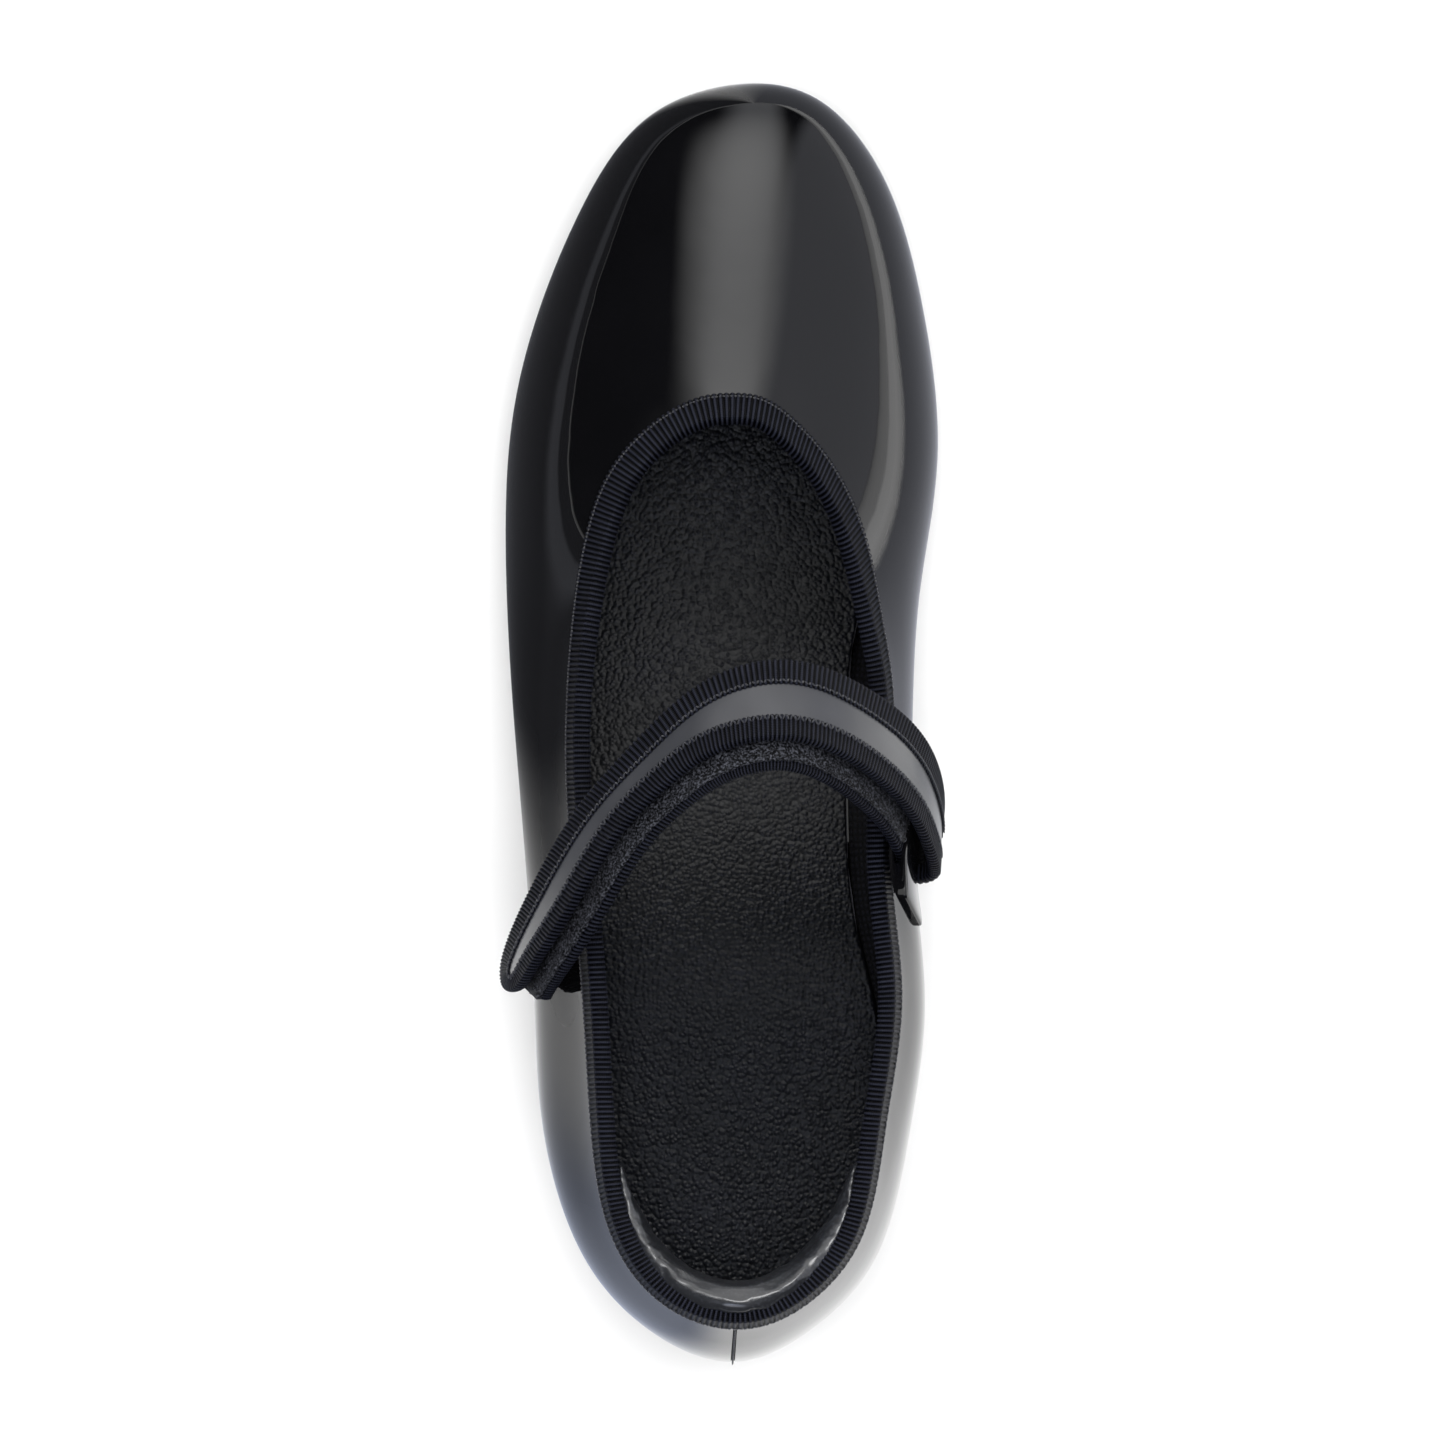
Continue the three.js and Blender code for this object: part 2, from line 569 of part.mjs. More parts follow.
function addHeel() {
  const blockInset = (y) => outsoleInset(y) + 1.5;
  const footInset = (y) => outsoleInset(y) + 4;
  const flat = (z) => () => z;
  const whole = [WHOLE_SOLE[0], HEEL_BREAST];
  const block = plate(...whole, blockInset, footInset, flat(blockTop), flat(blockBottom), 18);
  add("heel_block", cut(block, ...holesFor(heelScrews), ...nailHoles), thermoplastic);
  const topPiece = plate(...whole, footInset, footInset, flat(blockBottom - GAP), flat(TAP + GAP), 18);
  add("heel_top_piece", cut(topPiece, ...holesFor(heelScrews)), rubber);
}

// An upright cutter for the curved edge of a tap, centred on x 2.
function arcCutter(radius, y, sides) {
  return new THREE.CylinderGeometry(radius, radius, 20, sides).rotateX(Math.PI / 2).translate(2, y, 0);
}

function addTaps() {
  const tapInset = (y) => outsoleInset(y) + 2.2;
  const under = (y) => soleTop(y) - TREAD_TOP;
  const toePlate = plate(60, WHOLE_SOLE[1], tapInset, tapInset, (y) => under(y) + TAP, under, 20);
  add("toe_tap", cut(toePlate, arcCutter(90, -22, 36), ...holesFor(toeScrews)), aluminium);
  const heelTapInset = (y) => outsoleInset(y) + 5;
  const heelPlate = plate(WHOLE_SOLE[0], -70, heelTapInset, heelTapInset, () => TAP, () => 0, 16);
  add("heel_tap", cut(heelPlate, arcCutter(40, -38, 24), ...holesFor(heelScrews)), aluminium);
}

function addFasteners() {
  toeScrews.forEach(({ at, length }, i) => add("toe_tap_screw_" + (i + 1), screw(...at, length), steel));
  heelScrews.forEach(({ at, length }, i) => add("heel_tap_screw_" + (i + 1), screw(...at, length), steel));
  heelNails.forEach(({ at, length }, i) => add("heel_nail_" + (i + 1), nail(...at, length), steel));
}

function addUnderStrap() {
  const from = uOf(1);
  const to = FOLD_START;
  const under = steps(from, to, STRAP_STEPS + 3);
  add("under_strap", strapLayer(under, UNDER_FROM, UNDER_TO, UNDER_STRAP), knit);
  const loopTop = 1 - uOf(LOOP_PLACE + LOOP_TALL / 2 + 1);
  const short = under.filter((u) => u < loopTop);
  add("loop_pile_tape", strapLayer(short, UNDER_FROM, PILE_TO, PILE_TAPE), pile);
  const frames = short.map((u) => strapFrame(u, UNDER_TO, -1));
  add("under_strap_binding", edgeTape(frames, ...UNDER_STRAP, UNDER_LEG, UNDER_BACK_LEG), grosgrain);
  add("strap_loop", strapLoop(), patent);
}

function addStrap() {
  add("strap_patent", strapLayer(bodySteps, INNER_EDGE, 1 - INNER_EDGE, STRAP_PATENT), patent);
  add("strap_lining", strapLayer(bodySteps, INNER_EDGE, 1 - INNER_EDGE, STRAP_LINING), knit);
  const front = bodySteps.map((u) => strapFrame(u, INNER_EDGE, 1));
  const rear = bodySteps.map((u) => strapFrame(u, 1 - INNER_EDGE, -1));
  add("strap_front_binding", edgeTape(front, ...plies), grosgrain);
  add("strap_rear_binding", edgeTape(rear, ...plies), grosgrain);
}

function addStrapEnd() {
  add("strap_end_patent", strapLayer(endSteps, INNER_EDGE, 1 - INNER_EDGE, STRAP_PATENT, plyShare), patent);
  add("strap_end_lining", strapLayer(endSteps, INNER_EDGE, 1 - INNER_EDGE, STRAP_LINING, plyShare), knit);
  add("strap_end_binding", endBinding(), grosgrain);
  add("hook_pad", strapLayer(steps(...HOOK_RUN.map(uOf), 5), ...HOOK_ACROSS, HOOK_PAD), pile);
}

addUpper();
addCollarPad();
addSoles();
addHeel();
addTaps();
addFasteners();
addUnderStrap();
addStrap();
addStrapEnd();

export default shoe;
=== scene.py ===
"""The looks of a left tap shoe: patent upper, ribbed binding, a hook-and-loop instep strap and metal taps.

Laid out as an add-on with one operator for each piece, and run as a script.
"""
import math

import bmesh
import bpy
import numpy as np
from mathutils import Matrix, Vector
from mathutils.kdtree import KDTree


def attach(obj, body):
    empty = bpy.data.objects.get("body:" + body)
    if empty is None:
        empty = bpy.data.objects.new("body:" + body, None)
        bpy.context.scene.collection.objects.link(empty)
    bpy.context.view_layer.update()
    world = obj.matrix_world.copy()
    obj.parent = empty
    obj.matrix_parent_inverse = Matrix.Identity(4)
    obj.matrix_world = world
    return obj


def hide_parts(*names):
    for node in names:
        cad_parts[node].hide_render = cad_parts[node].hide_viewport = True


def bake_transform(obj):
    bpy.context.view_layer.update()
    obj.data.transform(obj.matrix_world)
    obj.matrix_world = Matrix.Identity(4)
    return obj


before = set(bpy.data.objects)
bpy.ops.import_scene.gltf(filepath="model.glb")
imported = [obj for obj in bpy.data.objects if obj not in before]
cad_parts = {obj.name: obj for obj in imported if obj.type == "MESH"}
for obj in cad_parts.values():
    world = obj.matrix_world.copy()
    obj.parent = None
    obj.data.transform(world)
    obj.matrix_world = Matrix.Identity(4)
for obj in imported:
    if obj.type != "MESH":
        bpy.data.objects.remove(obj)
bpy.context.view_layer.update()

bl_info = {
    "name": "Tap shoe looks",
    "version": (1, 0, 0),
    "blender": (4, 5, 0),
    "location": "View3D > Sidebar > Tap shoe",
    "description": "Builds the visible pieces of a tap shoe around its packed frame",
    "category": "Object",
}

MM = 0.001

# ---- Driving dimensions of the shoe, in millimetres, as the frame was built from them ----
GAP = 0.3
TAP = 2.2
OUTSOLE = 4.5
TREAD_TOP = TAP + GAP + OUTSOLE
HEEL_LIFT = 20.0
TOE_SPRING = 4.0
HEEL_BREAST = -60.0
TOP_PIECE = 5.5
UPPER = 1.2
LINING = 0.8
STIFFENER = 1.2
INSOLE_BOARD = 2.0
INSOLE_FOAM = 2.0
SOCK = 1.0
LASTING_MARGIN = 9.0
TAPE = 0.6
BINDING_LEG = 5.0
BINDING_BACK_LEG = 3.2
RIM = 0.25

# [widest x, widest y, topline x, topline y], clockwise from the toe.
STATIONS = np.array([
    [4.5, 124.9, 2.4, 59.7],
    [20.5, 120.6, 8.5, 58.3],
    [32.5, 104.5, 15.3, 52.3],
    [39.2, 81, 20.6, 45],
    [42.1, 53, 25.6, 33.3],
    [38.8, 27, 29.7, 17.5],
    [37.2, 2, 32, 0],
    [37.4, -27, 31.2, -27],
    [39.6, -54, 33.4, -53],
    [37, -78, 30.6, -77],
    [31, -102.5, 26, -99.5],
    [18.3, -118, 14.8, -113],
    [2, -125, 2.6, -117],
    [-15, -118.3, -10.5, -112.6],
    [-28.2, -102.5, -20.7, -98.5],
    [-35.3, -78, -24.2, -76],
    [-37, -50, -25.8, -49],
    [-39.6, -14, -28.6, -13],
    [-41.8, 16, -27.4, 15.5],
    [-42.1, 49, -21.5, 40.5],
    [-37.5, 75.5, -14, 52.3],
    [-28, 99.7, -7.6, 57.2],
    [-14.5, 118.4, -2.5, 59.3],
])

# The strap's outer face, front edge then rear edge, from the free end to the fold.
STRAP_STATIONS = np.array([
    [[-44.6, -50.9, 47.5], [-40.6, -54.6, 61]],
    [[-42.1, -42.0, 57.5], [-36.8, -48.0, 71]],
    [[-37.0, -31.0, 68], [-29.6, -37.2, 81.5]],
    [[-28.8, -17.0, 77.5], [-20.4, -22.8, 89.5]],
    [[-17.8, -4.2, 84], [-10.0, -12.6, 94.5]],
    [[-4.5, 7.6, 87.5], [-0.4, -6.8, 97]],
    [[11.2, 12.2, 87.5], [11.5, -4.6, 96.5]],
    [[25.0, 8.5, 82.5], [22.8, -7.5, 91.5]],
    [[36.5, 0.6, 72], [31.8, -13.8, 82]],
    [[42.0, -7.5, 60.5], [38.2, -20.8, 71]],
    [[43.5, -14.0, 50], [41.9, -28.6, 58.5]],
    [[43.4, -18.0, 42.5], [42.6, -32.0, 50]],
])

STRAP_PATENT = (TAPE + GAP, TAPE + GAP + 0.9)
STRAP_LINING = (STRAP_PATENT[1] + GAP, STRAP_PATENT[1] + GAP + 0.6)
HOOK_PAD = (STRAP_LINING[1] + GAP, STRAP_LINING[1] + GAP + 0.7)
PILE_TAPE = (HOOK_PAD[1] + GAP, HOOK_PAD[1] + GAP + 0.8)
UNDER_STRAP = (PILE_TAPE[1] + GAP + 0.1, PILE_TAPE[1] + GAP + 1.1)
LOOP_PLY = 0.9
LOOP_TALL = 9.0
LOOP_PLACE = 13.0
LOOP_CLEARANCE = 0.5
LOOP_TAIL = 13.0
LOOP_TAIL_BEND = 3.0
END_ROUND = 8.0


# ---- Curves and the last ----

def smooth(x, low, high):
    """0 below low, 1 above high, and a soft step between them."""
    t = np.clip((np.asarray(x, float) - low) / (high - low), 0, 1)
    return t * t * (3 - 2 * t)


def lerp(a, b, t):
    return a + (b - a) * t


def unit(v):
    return v / np.maximum(np.linalg.norm(v, axis=-1, keepdims=True), 1e-12)


def closed_spline(points):
    """A curve with even curvature through a closed row of points; its parameter runs from 0 to 1."""
    points = np.asarray(points, float)
    count = len(points)
    matrix = 4 * np.eye(count) + np.roll(np.eye(count), 1, 0) + np.roll(np.eye(count), -1, 0)
    second = np.linalg.solve(matrix, 6 * (np.roll(points, -1, 0) - 2 * points + np.roll(points, 1, 0)))

    def at(s):
        x = (np.asarray(s, float) % 1) * count
        i = np.floor(x).astype(int) % count
        j = (i + 1) % count
        t = (x - np.floor(x))[..., None]
        straight = points[i] * (1 - t) + points[j] * t
        return straight + ((1 - t) ** 3 - (1 - t)) * second[i] / 6 + (t ** 3 - t) * second[j] / 6
    return at


def open_spline(points):
    """The same through an open row of points, straight beyond its ends."""
    points = np.asarray(points, float)
    count = len(points)
    matrix = np.eye(count)
    right = np.zeros_like(points)
    for i in range(1, count - 1):
        matrix[i, i - 1:i + 2] = (1, 4, 1)
        right[i] = 6 * (points[i + 1] - 2 * points[i] + points[i - 1])
    second = np.linalg.solve(matrix, right)

    def at(s):
        x = np.clip(np.asarray(s, float), 0, 1) * (count - 1)
        i = np.minimum(np.floor(x).astype(int), count - 2)
        t = (x - i)[..., None]
        straight = points[i] * (1 - t) + points[i + 1] * t
        return straight + ((1 - t) ** 3 - (1 - t)) * second[i] / 6 + (t ** 3 - t) * second[i + 1] / 6
    return at


rim_curve = closed_spline(STATIONS[:, 0:2])
topline_curve = closed_spline(STATIONS[:, 2:4])


def sole_top(y):
    spring = TOE_SPRING * np.maximum(0, (np.asarray(y, float) - 96) / 29) ** 2
    return TREAD_TOP + HEEL_LIFT * (1 - smooth(y, -62, 45)) + spring


def rim_height(y):
    return sole_top(y) + lerp(15, 9, smooth(y, 0, 70))


def topline_height(y):
    return 55.5 + (40 - y) ** 2 / 870


def feather_inset(y):
    return 4.5 + 5 * (smooth(y, -75, -30) - smooth(y, 5, 50))


def inward_at(s):
    tangent = unit(rim_curve(s + 1e-4) - rim_curve(s - 1e-4))
    return np.stack([tangent[..., 1], -tangent[..., 0]], -1)


def skin(s, v):
    """The upper's outer face: s goes round from the toe, v up from the sole's edge, past RIM, to 1 at the top."""
    s, v = np.broadcast_arrays(np.asarray(s, float), np.asarray(v, float))
    rim = rim_curve(s)
    inward = inward_at(s)
    feather = feather_inset(rim[..., 1])
    angle = (math.pi / 2) * np.clip(v / RIM, 0, 1)
    inset = feather * (1 - np.sin(angle)) + LASTING_MARGIN * np.clip(-v, 0, None)
    low = rim + inward * inset[..., None]
    base = sole_top(low[..., 1]) + GAP
    widest = rim_height(rim[..., 1])
    low = np.concatenate([low, (base + (widest - base) * (1 - np.cos(angle)))[..., None]], -1)
    edge = topline_curve(s)
    top = topline_height(edge[..., 1])
    lean = np.radians(lerp(77, 24, smooth(edge[..., 1], 0, 60)))
    outward = unit(rim - edge)
    a = np.concatenate([rim, widest[..., None]], -1)
    d = np.concatenate([edge, top[..., None]], -1)
    b = np.concatenate([rim, lerp(widest, top, 0.42)[..., None]], -1)
    arrive = np.concatenate([outward * np.cos(lean)[..., None], -np.sin(lean)[..., None]], -1)
    c = d + arrive * (0.4 * np.linalg.norm(a - d, axis=-1))[..., None]
    t = np.clip((v - RIM) / (1 - RIM), 0, 1)[..., None]
    high = a * (1 - t) ** 3 + 3 * b * t * (1 - t) ** 2 + 3 * c * t * t * (1 - t) + d * t ** 3
    return np.where((v <= RIM)[..., None], low, high)


def skin_normal(s, v):
    step = 1e-3
    high = np.minimum(v, 1 - step)
    up = skin(s, high + step) - skin(s, high - step)
    along = skin(s + step, high) - skin(s - step, high)
    return unit(np.cross(up, along))


def skin_at(s, v, depth):
    depth = np.asarray(depth, float)
    return skin(s, v) - skin_normal(s, v) * depth[..., None]


def station(index):
    return index / len(STATIONS)


def stiffened(s, v):
    """1 where a stiffener lies between the upper and the lining."""
    reach = station(0.6)
    signed = np.where(s > 0.5, s - 1, s)

    def within(value, low, high):
        return smooth(value, low - reach, low) * (1 - smooth(value, high, high + reach))
    heel = within(s, station(9), station(15)) * (1 - smooth(v, 0.82, 0.92))
    toe = within(signed, station(-2.5), station(2.5)) * (1 - smooth(v, 0.58, 0.72))
    return np.maximum(heel, toe)


strap_front = open_spline(STRAP_STATIONS[:, 0])
strap_rear = open_spline(STRAP_STATIONS[:, 1])
STRAP_RUN = np.linspace(0, 1, 600)
STRAP_MIDDLE = (strap_front(STRAP_RUN) + strap_rear(STRAP_RUN)) / 2
STRAP_TRAVEL = np.concatenate([[0], np.cumsum(np.linalg.norm(np.diff(STRAP_MIDDLE, axis=0), axis=-1))])
STRAP_LENGTH = float(STRAP_TRAVEL[-1])


def strap_u(length):
    """The strap's parameter at a distance in mm from its free end."""
    return np.interp(length, STRAP_TRAVEL, STRAP_RUN)


def strap_face(u, w):
    w = np.asarray(w, float)[..., None]
    return strap_front(u) * (1 - w) + strap_rear(u) * w


def strap_normal(u):
    across = strap_rear(u) - strap_front(u)
    low, high = np.clip(u - 0.01, 0, 1), np.clip(u + 0.01, 0, 1)
    along = strap_face(high, np.full_like(high, 0.5)) - strap_face(low, np.full_like(low, 0.5))
    return unit(np.cross(across, along))


def strap_at(length, offset, depth):
    """A point of the strap from flat measures in mm: along from the free end, across from its middle
    (front edge negative) and down from its outer face. Beyond the ends the strap runs on straight."""
    length, offset, depth = np.broadcast_arrays(*[np.asarray(x, float) for x in (length, offset, depth)])
    inside = np.clip(length, 0, STRAP_LENGTH)
    u = strap_u(inside)
    front, rear = strap_front(u), strap_rear(u)
    across = unit(rear - front)
    normal = strap_normal(u)
    along = np.cross(normal, across)
    middle = (front + rear) / 2
    return (middle + across * offset[..., None] - normal * depth[..., None]
            + along * (length - inside)[..., None])


def strap_half(length):
    u = strap_u(np.clip(length, 0, STRAP_LENGTH))
    return np.linalg.norm(strap_rear(u) - strap_front(u), axis=-1) / 2


# ---- Meshes ----

def grid_faces(rows, cols, ring_rows=False, ring_cols=False, start=0):
    r = np.arange(rows if ring_rows else rows - 1)[:, None]
    c = np.arange(cols if ring_cols else cols - 1)[None, :]
    here, next_row, next_col = r * cols, ((r + 1) % rows) * cols, (c + 1) % cols
    corners = [here + c, next_row + c, next_row + next_col, here + next_col]
    return start + np.stack(np.broadcast_arrays(*corners), -1).reshape(-1, 4)


def travelled(points, axis):
    """Distance run along one axis of a lattice, so that a pattern keeps its size."""
    step = np.linalg.norm(np.diff(points, axis=axis), axis=-1)
    mean = step.mean(axis=1 - axis)
    return np.concatenate([[0], np.cumsum(mean)])


def lattice_uv(points):
    return np.stack(np.meshgrid(travelled(points, 0), travelled(points, 1), indexing="ij"), -1).reshape(-1, 2)


def new_mesh(name, points, faces, uv=None, weld=0.0):
    """A mesh object from points in mm, its faces turned outwards. uv is in mm too, one pair for each point."""
    mesh = bpy.data.meshes.new(name)
    mesh.from_pydata((np.asarray(points).reshape(-1, 3) * MM).tolist(), [], [tuple(f) for f in faces])
    if uv is not None:
        layer = mesh.uv_layers.new(name="UVMap")
        loops = np.zeros(len(mesh.loops), int)
        mesh.loops.foreach_get("vertex_index", loops)
        layer.data.foreach_set("uv", np.asarray(uv)[loops].astype(np.float32).ravel())
    work = bmesh.new()
    work.from_mesh(mesh)
    if weld:
        bmesh.ops.remove_doubles(work, verts=work.verts, dist=weld * MM)
        bmesh.ops.dissolve_degenerate(work, edges=work.edges, dist=1e-7)
    bmesh.ops.recalc_face_normals(work, faces=work.faces)
    work.to_mesh(mesh)
    work.free()
    mesh.polygons.foreach_set("use_smooth", [True] * len(mesh.polygons))
    obj = bpy.data.objects.new(name, mesh)
    bpy.context.scene.collection.objects.link(obj)
    return obj


def solid_between(name, outer, inner, ring=False):
    """The closed solid between two lattices of points."""
    rows, cols = outer.shape[:2]
    under = rows * cols
    faces = [grid_faces(rows, cols, ring), grid_faces(rows, cols, ring, start=under)]
    r = np.arange(rows if ring else rows - 1)
    nxt = (r + 1) % rows
    for c in (0, cols - 1):
        faces.append(np.stack([r * cols + c, nxt * cols + c, under + nxt * cols + c, under + r * cols + c], -1))
    if not ring:
        c = np.arange(cols - 1)
        for row in (0, (rows - 1) * cols):
            faces.append(np.stack([row + c, row + c + 1, under + row + c + 1, under + row + c], -1))
    points = np.concatenate([outer.reshape(-1, 3), inner.reshape(-1, 3)])
    uv = np.concatenate([lattice_uv(outer)] * 2)
    return new_mesh(name, points, np.concatenate(faces), uv)


def swept(name, rows, ring=False, along=None):
    """A tube whose closed cross-sections are the rows of a lattice; along is the U coordinate of each row."""
    count, cols = rows.shape[:2]
    uv = lattice_uv(rows)
    if along is not None:
        uv[:, 0] = np.repeat(along[:count], cols)
    faces = grid_faces(count, cols, ring, True).tolist()
    if not ring:
        faces.append(list(range(cols)))
        faces.append([(count - 1) * cols + c for c in range(cols)])
    return new_mesh(name, rows, faces, uv)


def slab(name, layers, centre):
    """A plate from layers of (outline, height), stacked from top to bottom and filled towards its middle."""
    outline_top, outline_bottom = layers[0], layers[-1]
    fill = np.linspace(1, 0, 12) ** 1.3
    rows = [lift(outline_top, centre, k) for k in fill]
    rows += [lift(layer, centre, 0) for layer in layers[1:-1]]
    rows += [lift(outline_bottom, centre, k) for k in fill[::-1]]
    lattice = np.stack(rows, 1)
    faces = grid_faces(*lattice.shape[:2], ring_rows=True)
    return new_mesh(name, lattice, faces, lattice[..., :2].reshape(-1, 2), weld=0.02)


def lift(layer, centre, share):
    outline, height = layer
    flat = lerp(outline, centre(outline), share)
    return np.concatenate([flat, height(flat[:, 1])[:, None]], -1)


def rounded(outline, top, bottom, radius):
    """The layers of a plate with rounded edges; outline(inset) gives its outline."""
    turns = np.linspace(0, math.pi / 2, 5)
    upper = [(outline(radius * (1 - math.sin(a))), (lambda y, a=a: top(y) - radius * (1 - math.cos(a))))
             for a in turns]
    lower = [(outline(radius * (1 - math.sin(a))), (lambda y, a=a: bottom(y) + radius * (1 - math.cos(a))))
             for a in turns]
    return upper + lower[::-1]


def inset_outline(inset, count=360):
    s = np.linspace(0, 1, count, endpoint=False)
    rim = rim_curve(s)
    return rim + inward_at(s) * np.asarray(inset(rim[:, 1]))[:, None]


def cut_outline(inset, border, keep, count=150, across=60):
    """Part of an inset outline, closed by a border line y = border(x)."""
    loop = inset_outline(inset, 3000)
    inside = keep * (loop[:, 1] - border(loop[:, 0])) > 0
    start = np.flatnonzero(inside & ~np.roll(inside, 1))[0]
    run = np.roll(loop, -start, 0)[: inside.sum()]
    travel = np.concatenate([[0], np.cumsum(np.linalg.norm(np.diff(run, axis=0), axis=1))])
    at = np.linspace(0, travel[-1], count)
    edge = np.stack([np.interp(at, travel, run[:, k]) for k in (0, 1)], -1)
    x = np.linspace(edge[-1, 0], edge[0, 0], across + 2)[1:-1]
    return np.concatenate([edge, np.stack([x, border(x)], -1)])


def evaluated(obj, name):
    """A plain mesh object of obj with its modifiers applied; obj is removed."""
    depsgraph = bpy.context.evaluated_depsgraph_get()
    depsgraph.update()
    mesh = bpy.data.meshes.new_from_object(obj.evaluated_get(depsgraph), depsgraph=depsgraph)
    made = bpy.data.objects.new(name, mesh)
    bpy.context.scene.collection.objects.link(made)
    bpy.data.objects.remove(obj)
    made.name = name
    return made


def cut_away(obj, tools):
    """obj with the tool objects cut out of it; the tools are removed."""
    name = obj.name
    for tool in tools:
        modifier = obj.modifiers.new("cut", "BOOLEAN")
        modifier.operation = "DIFFERENCE"
        modifier.solver = "EXACT"
        modifier.object = tool
    made = evaluated(obj, name + "_cut")
    for tool in tools:
        bpy.data.objects.remove(tool)
    made.name = name
    return made


def lathe(name, profile, sides, centre=(0, 0, 0)):
    """A body of revolution round +Z; profile rows are [radius, height] from axis to axis."""
    angle = np.linspace(0, 2 * math.pi, sides, endpoint=False)[:, None]
    profile = np.asarray(profile, float)
    radius, height = profile[None, :, 0], profile[None, :, 1]
    points = np.stack(np.broadcast_arrays(radius * np.cos(angle), radius * np.sin(angle), height), -1)
    faces = grid_faces(sides, len(profile), ring_rows=True)
    return new_mesh(name, points + np.asarray(centre, float), faces, weld=0.01)


def finish_piece(obj, finish, body, nodes=()):
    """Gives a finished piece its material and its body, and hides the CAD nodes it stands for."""
    obj.data.materials.clear()
    obj.data.materials.append(finish)
    if body:
        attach(obj, body)
    if nodes:
        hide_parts(*nodes)
    return obj


# ---- Node trees ----

def plug(tree, node, inputs):
    """Sets a node's inputs to plain values or outputs; a node given as a value stands for its first output."""
    for key, value in inputs.items():
        if isinstance(value, bpy.types.Node):
            value = next(output for output in value.outputs if output.enabled)
        if isinstance(value, bpy.types.NodeSocket):
            tree.links.new(value, node.inputs[key])
        else:
            node.inputs[key].default_value = value


def add_node(tree, kind, settings=None, inputs=None):
    """One node with its settings and links."""
    node = tree.nodes.new(kind)
    for key, value in (settings or {}).items():
        setattr(node, key, value)
    plug(tree, node, inputs or {})
    return node


def linear(hex_colour):
    """A hex sRGB colour as linear red, green, blue and alpha."""
    parts = [int(hex_colour[i:i + 2], 16) / 255 for i in (1, 3, 5)]
    return [p / 12.92 if p <= 0.04045 else ((p + 0.055) / 1.055) ** 2.4 for p in parts] + [1.0]


def surface(name, sockets):
    """A material with one Principled surface, its tree and its shader."""
    made = bpy.data.materials.new(name)
    made.use_nodes = True
    shader = made.node_tree.nodes["Principled BSDF"]
    plug(made.node_tree, shader, sockets)
    return made, made.node_tree, shader


def wave_scale(period_mm):
    """The scale that sets a wave texture's ridges period_mm apart: its own period is pi / 10 of a unit."""
    return math.pi / (10 * period_mm)


# Kinds and settings of the nodes that come back most.
NOISE, RANGE, BUMP = "ShaderNodeTexNoise", "ShaderNodeMapRange", "ShaderNodeBump"
MATH, WAVE, MIX = "ShaderNodeMath", "ShaderNodeTexWave", "ShaderNodeMix"
COORDINATES, FLAT = "ShaderNodeTexCoord", "ShaderNodeUVMap"
IN_COLOUR, BY_UV = {"data_type": "RGBA"}, {"uv_map": "UVMap"}
TIMES, PLUS, MINUS = ({"operation": word} for word in ("MULTIPLY", "ADD", "SUBTRACT"))
TO_METRES = 1000.0  # object coordinates are in metres, so a texture's scale is this over its period in mm


def patent_leather(look):
    """Lacquer poured on smooth leather and baked: a clear hard coat over near-black, which mirrors the room
    sharply and shows almost no colour of its own."""
    made, tree, shader = surface("lacquered patent leather", {
        "Specular IOR Level": 0.0, "Coat Weight": 1.0, "Coat IOR": 1.5, "Coat Roughness": 0.03})
    place = add_node(tree, COORDINATES).outputs["Object"]
    # A poured coat levels with a slow ripple, which bends long reflections a little.
    ripple = add_node(tree, NOISE, inputs={"Vector": place, "Scale": TO_METRES / 9.0, "Detail": 1.0})
    leather = add_node(tree, NOISE, inputs={"Vector": place, "Scale": TO_METRES / 0.5, "Detail": 3.0})
    tone = add_node(tree, NOISE, inputs={"Vector": place, "Scale": TO_METRES / 30.0, "Detail": 2.0})
    colour = add_node(tree, MIX, IN_COLOUR, {"Factor": tone, "A": look.lacquer_dark, "B": look.lacquer_light})
    rough = add_node(tree, RANGE, inputs={"Value": leather, "To Min": 0.16, "To Max": 0.26})
    coat = add_node(tree, BUMP, inputs={"Height": ripple, "Distance": 0.05 * MM})
    under = add_node(tree, BUMP, inputs={"Height": leather, "Distance": 0.004 * MM, "Normal": coat})
    plug(tree, shader, {"Base Color": colour, "Roughness": rough, "Normal": under, "Coat Normal": coat})
    return made


def satin_film(look):
    """Calendered polyurethane film of the strap: rolled even, with a wide soft sheen. Its one dark grey is
    painted reflection, standing in for the soft light that the strap's face mirrors.
    """
    made, tree, shader = surface("calendered polyurethane film", {
        "IOR": 1.5, "Coat Weight": 0.6, "Coat Roughness": 0.22})
    place = add_node(tree, COORDINATES).outputs["Object"]
    broad = add_node(tree, NOISE, inputs={"Vector": place, "Scale": TO_METRES / 14.0, "Detail": 2.0})
    fine = add_node(tree, NOISE, inputs={"Vector": place, "Scale": TO_METRES / 0.4, "Detail": 3.0})
    share = add_node(tree, RANGE, inputs={"Value": broad, "From Min": 0.3, "From Max": 0.7})
    # Painted reflection: the dark grey, with its broad random tone, stands in for soft light mirrored by the
    # strap.
    colour = add_node(tree, MIX, IN_COLOUR, {"Factor": share, "A": look.film_dark, "B": look.film_light})
    rough = add_node(tree, RANGE, inputs={"Value": fine, "To Min": 0.34, "To Max": 0.46})
    normal = add_node(tree, BUMP, inputs={"Height": fine, "Distance": 0.01 * MM})
    plug(tree, shader, {"Base Color": colour, "Roughness": rough, "Normal": normal})
    return made


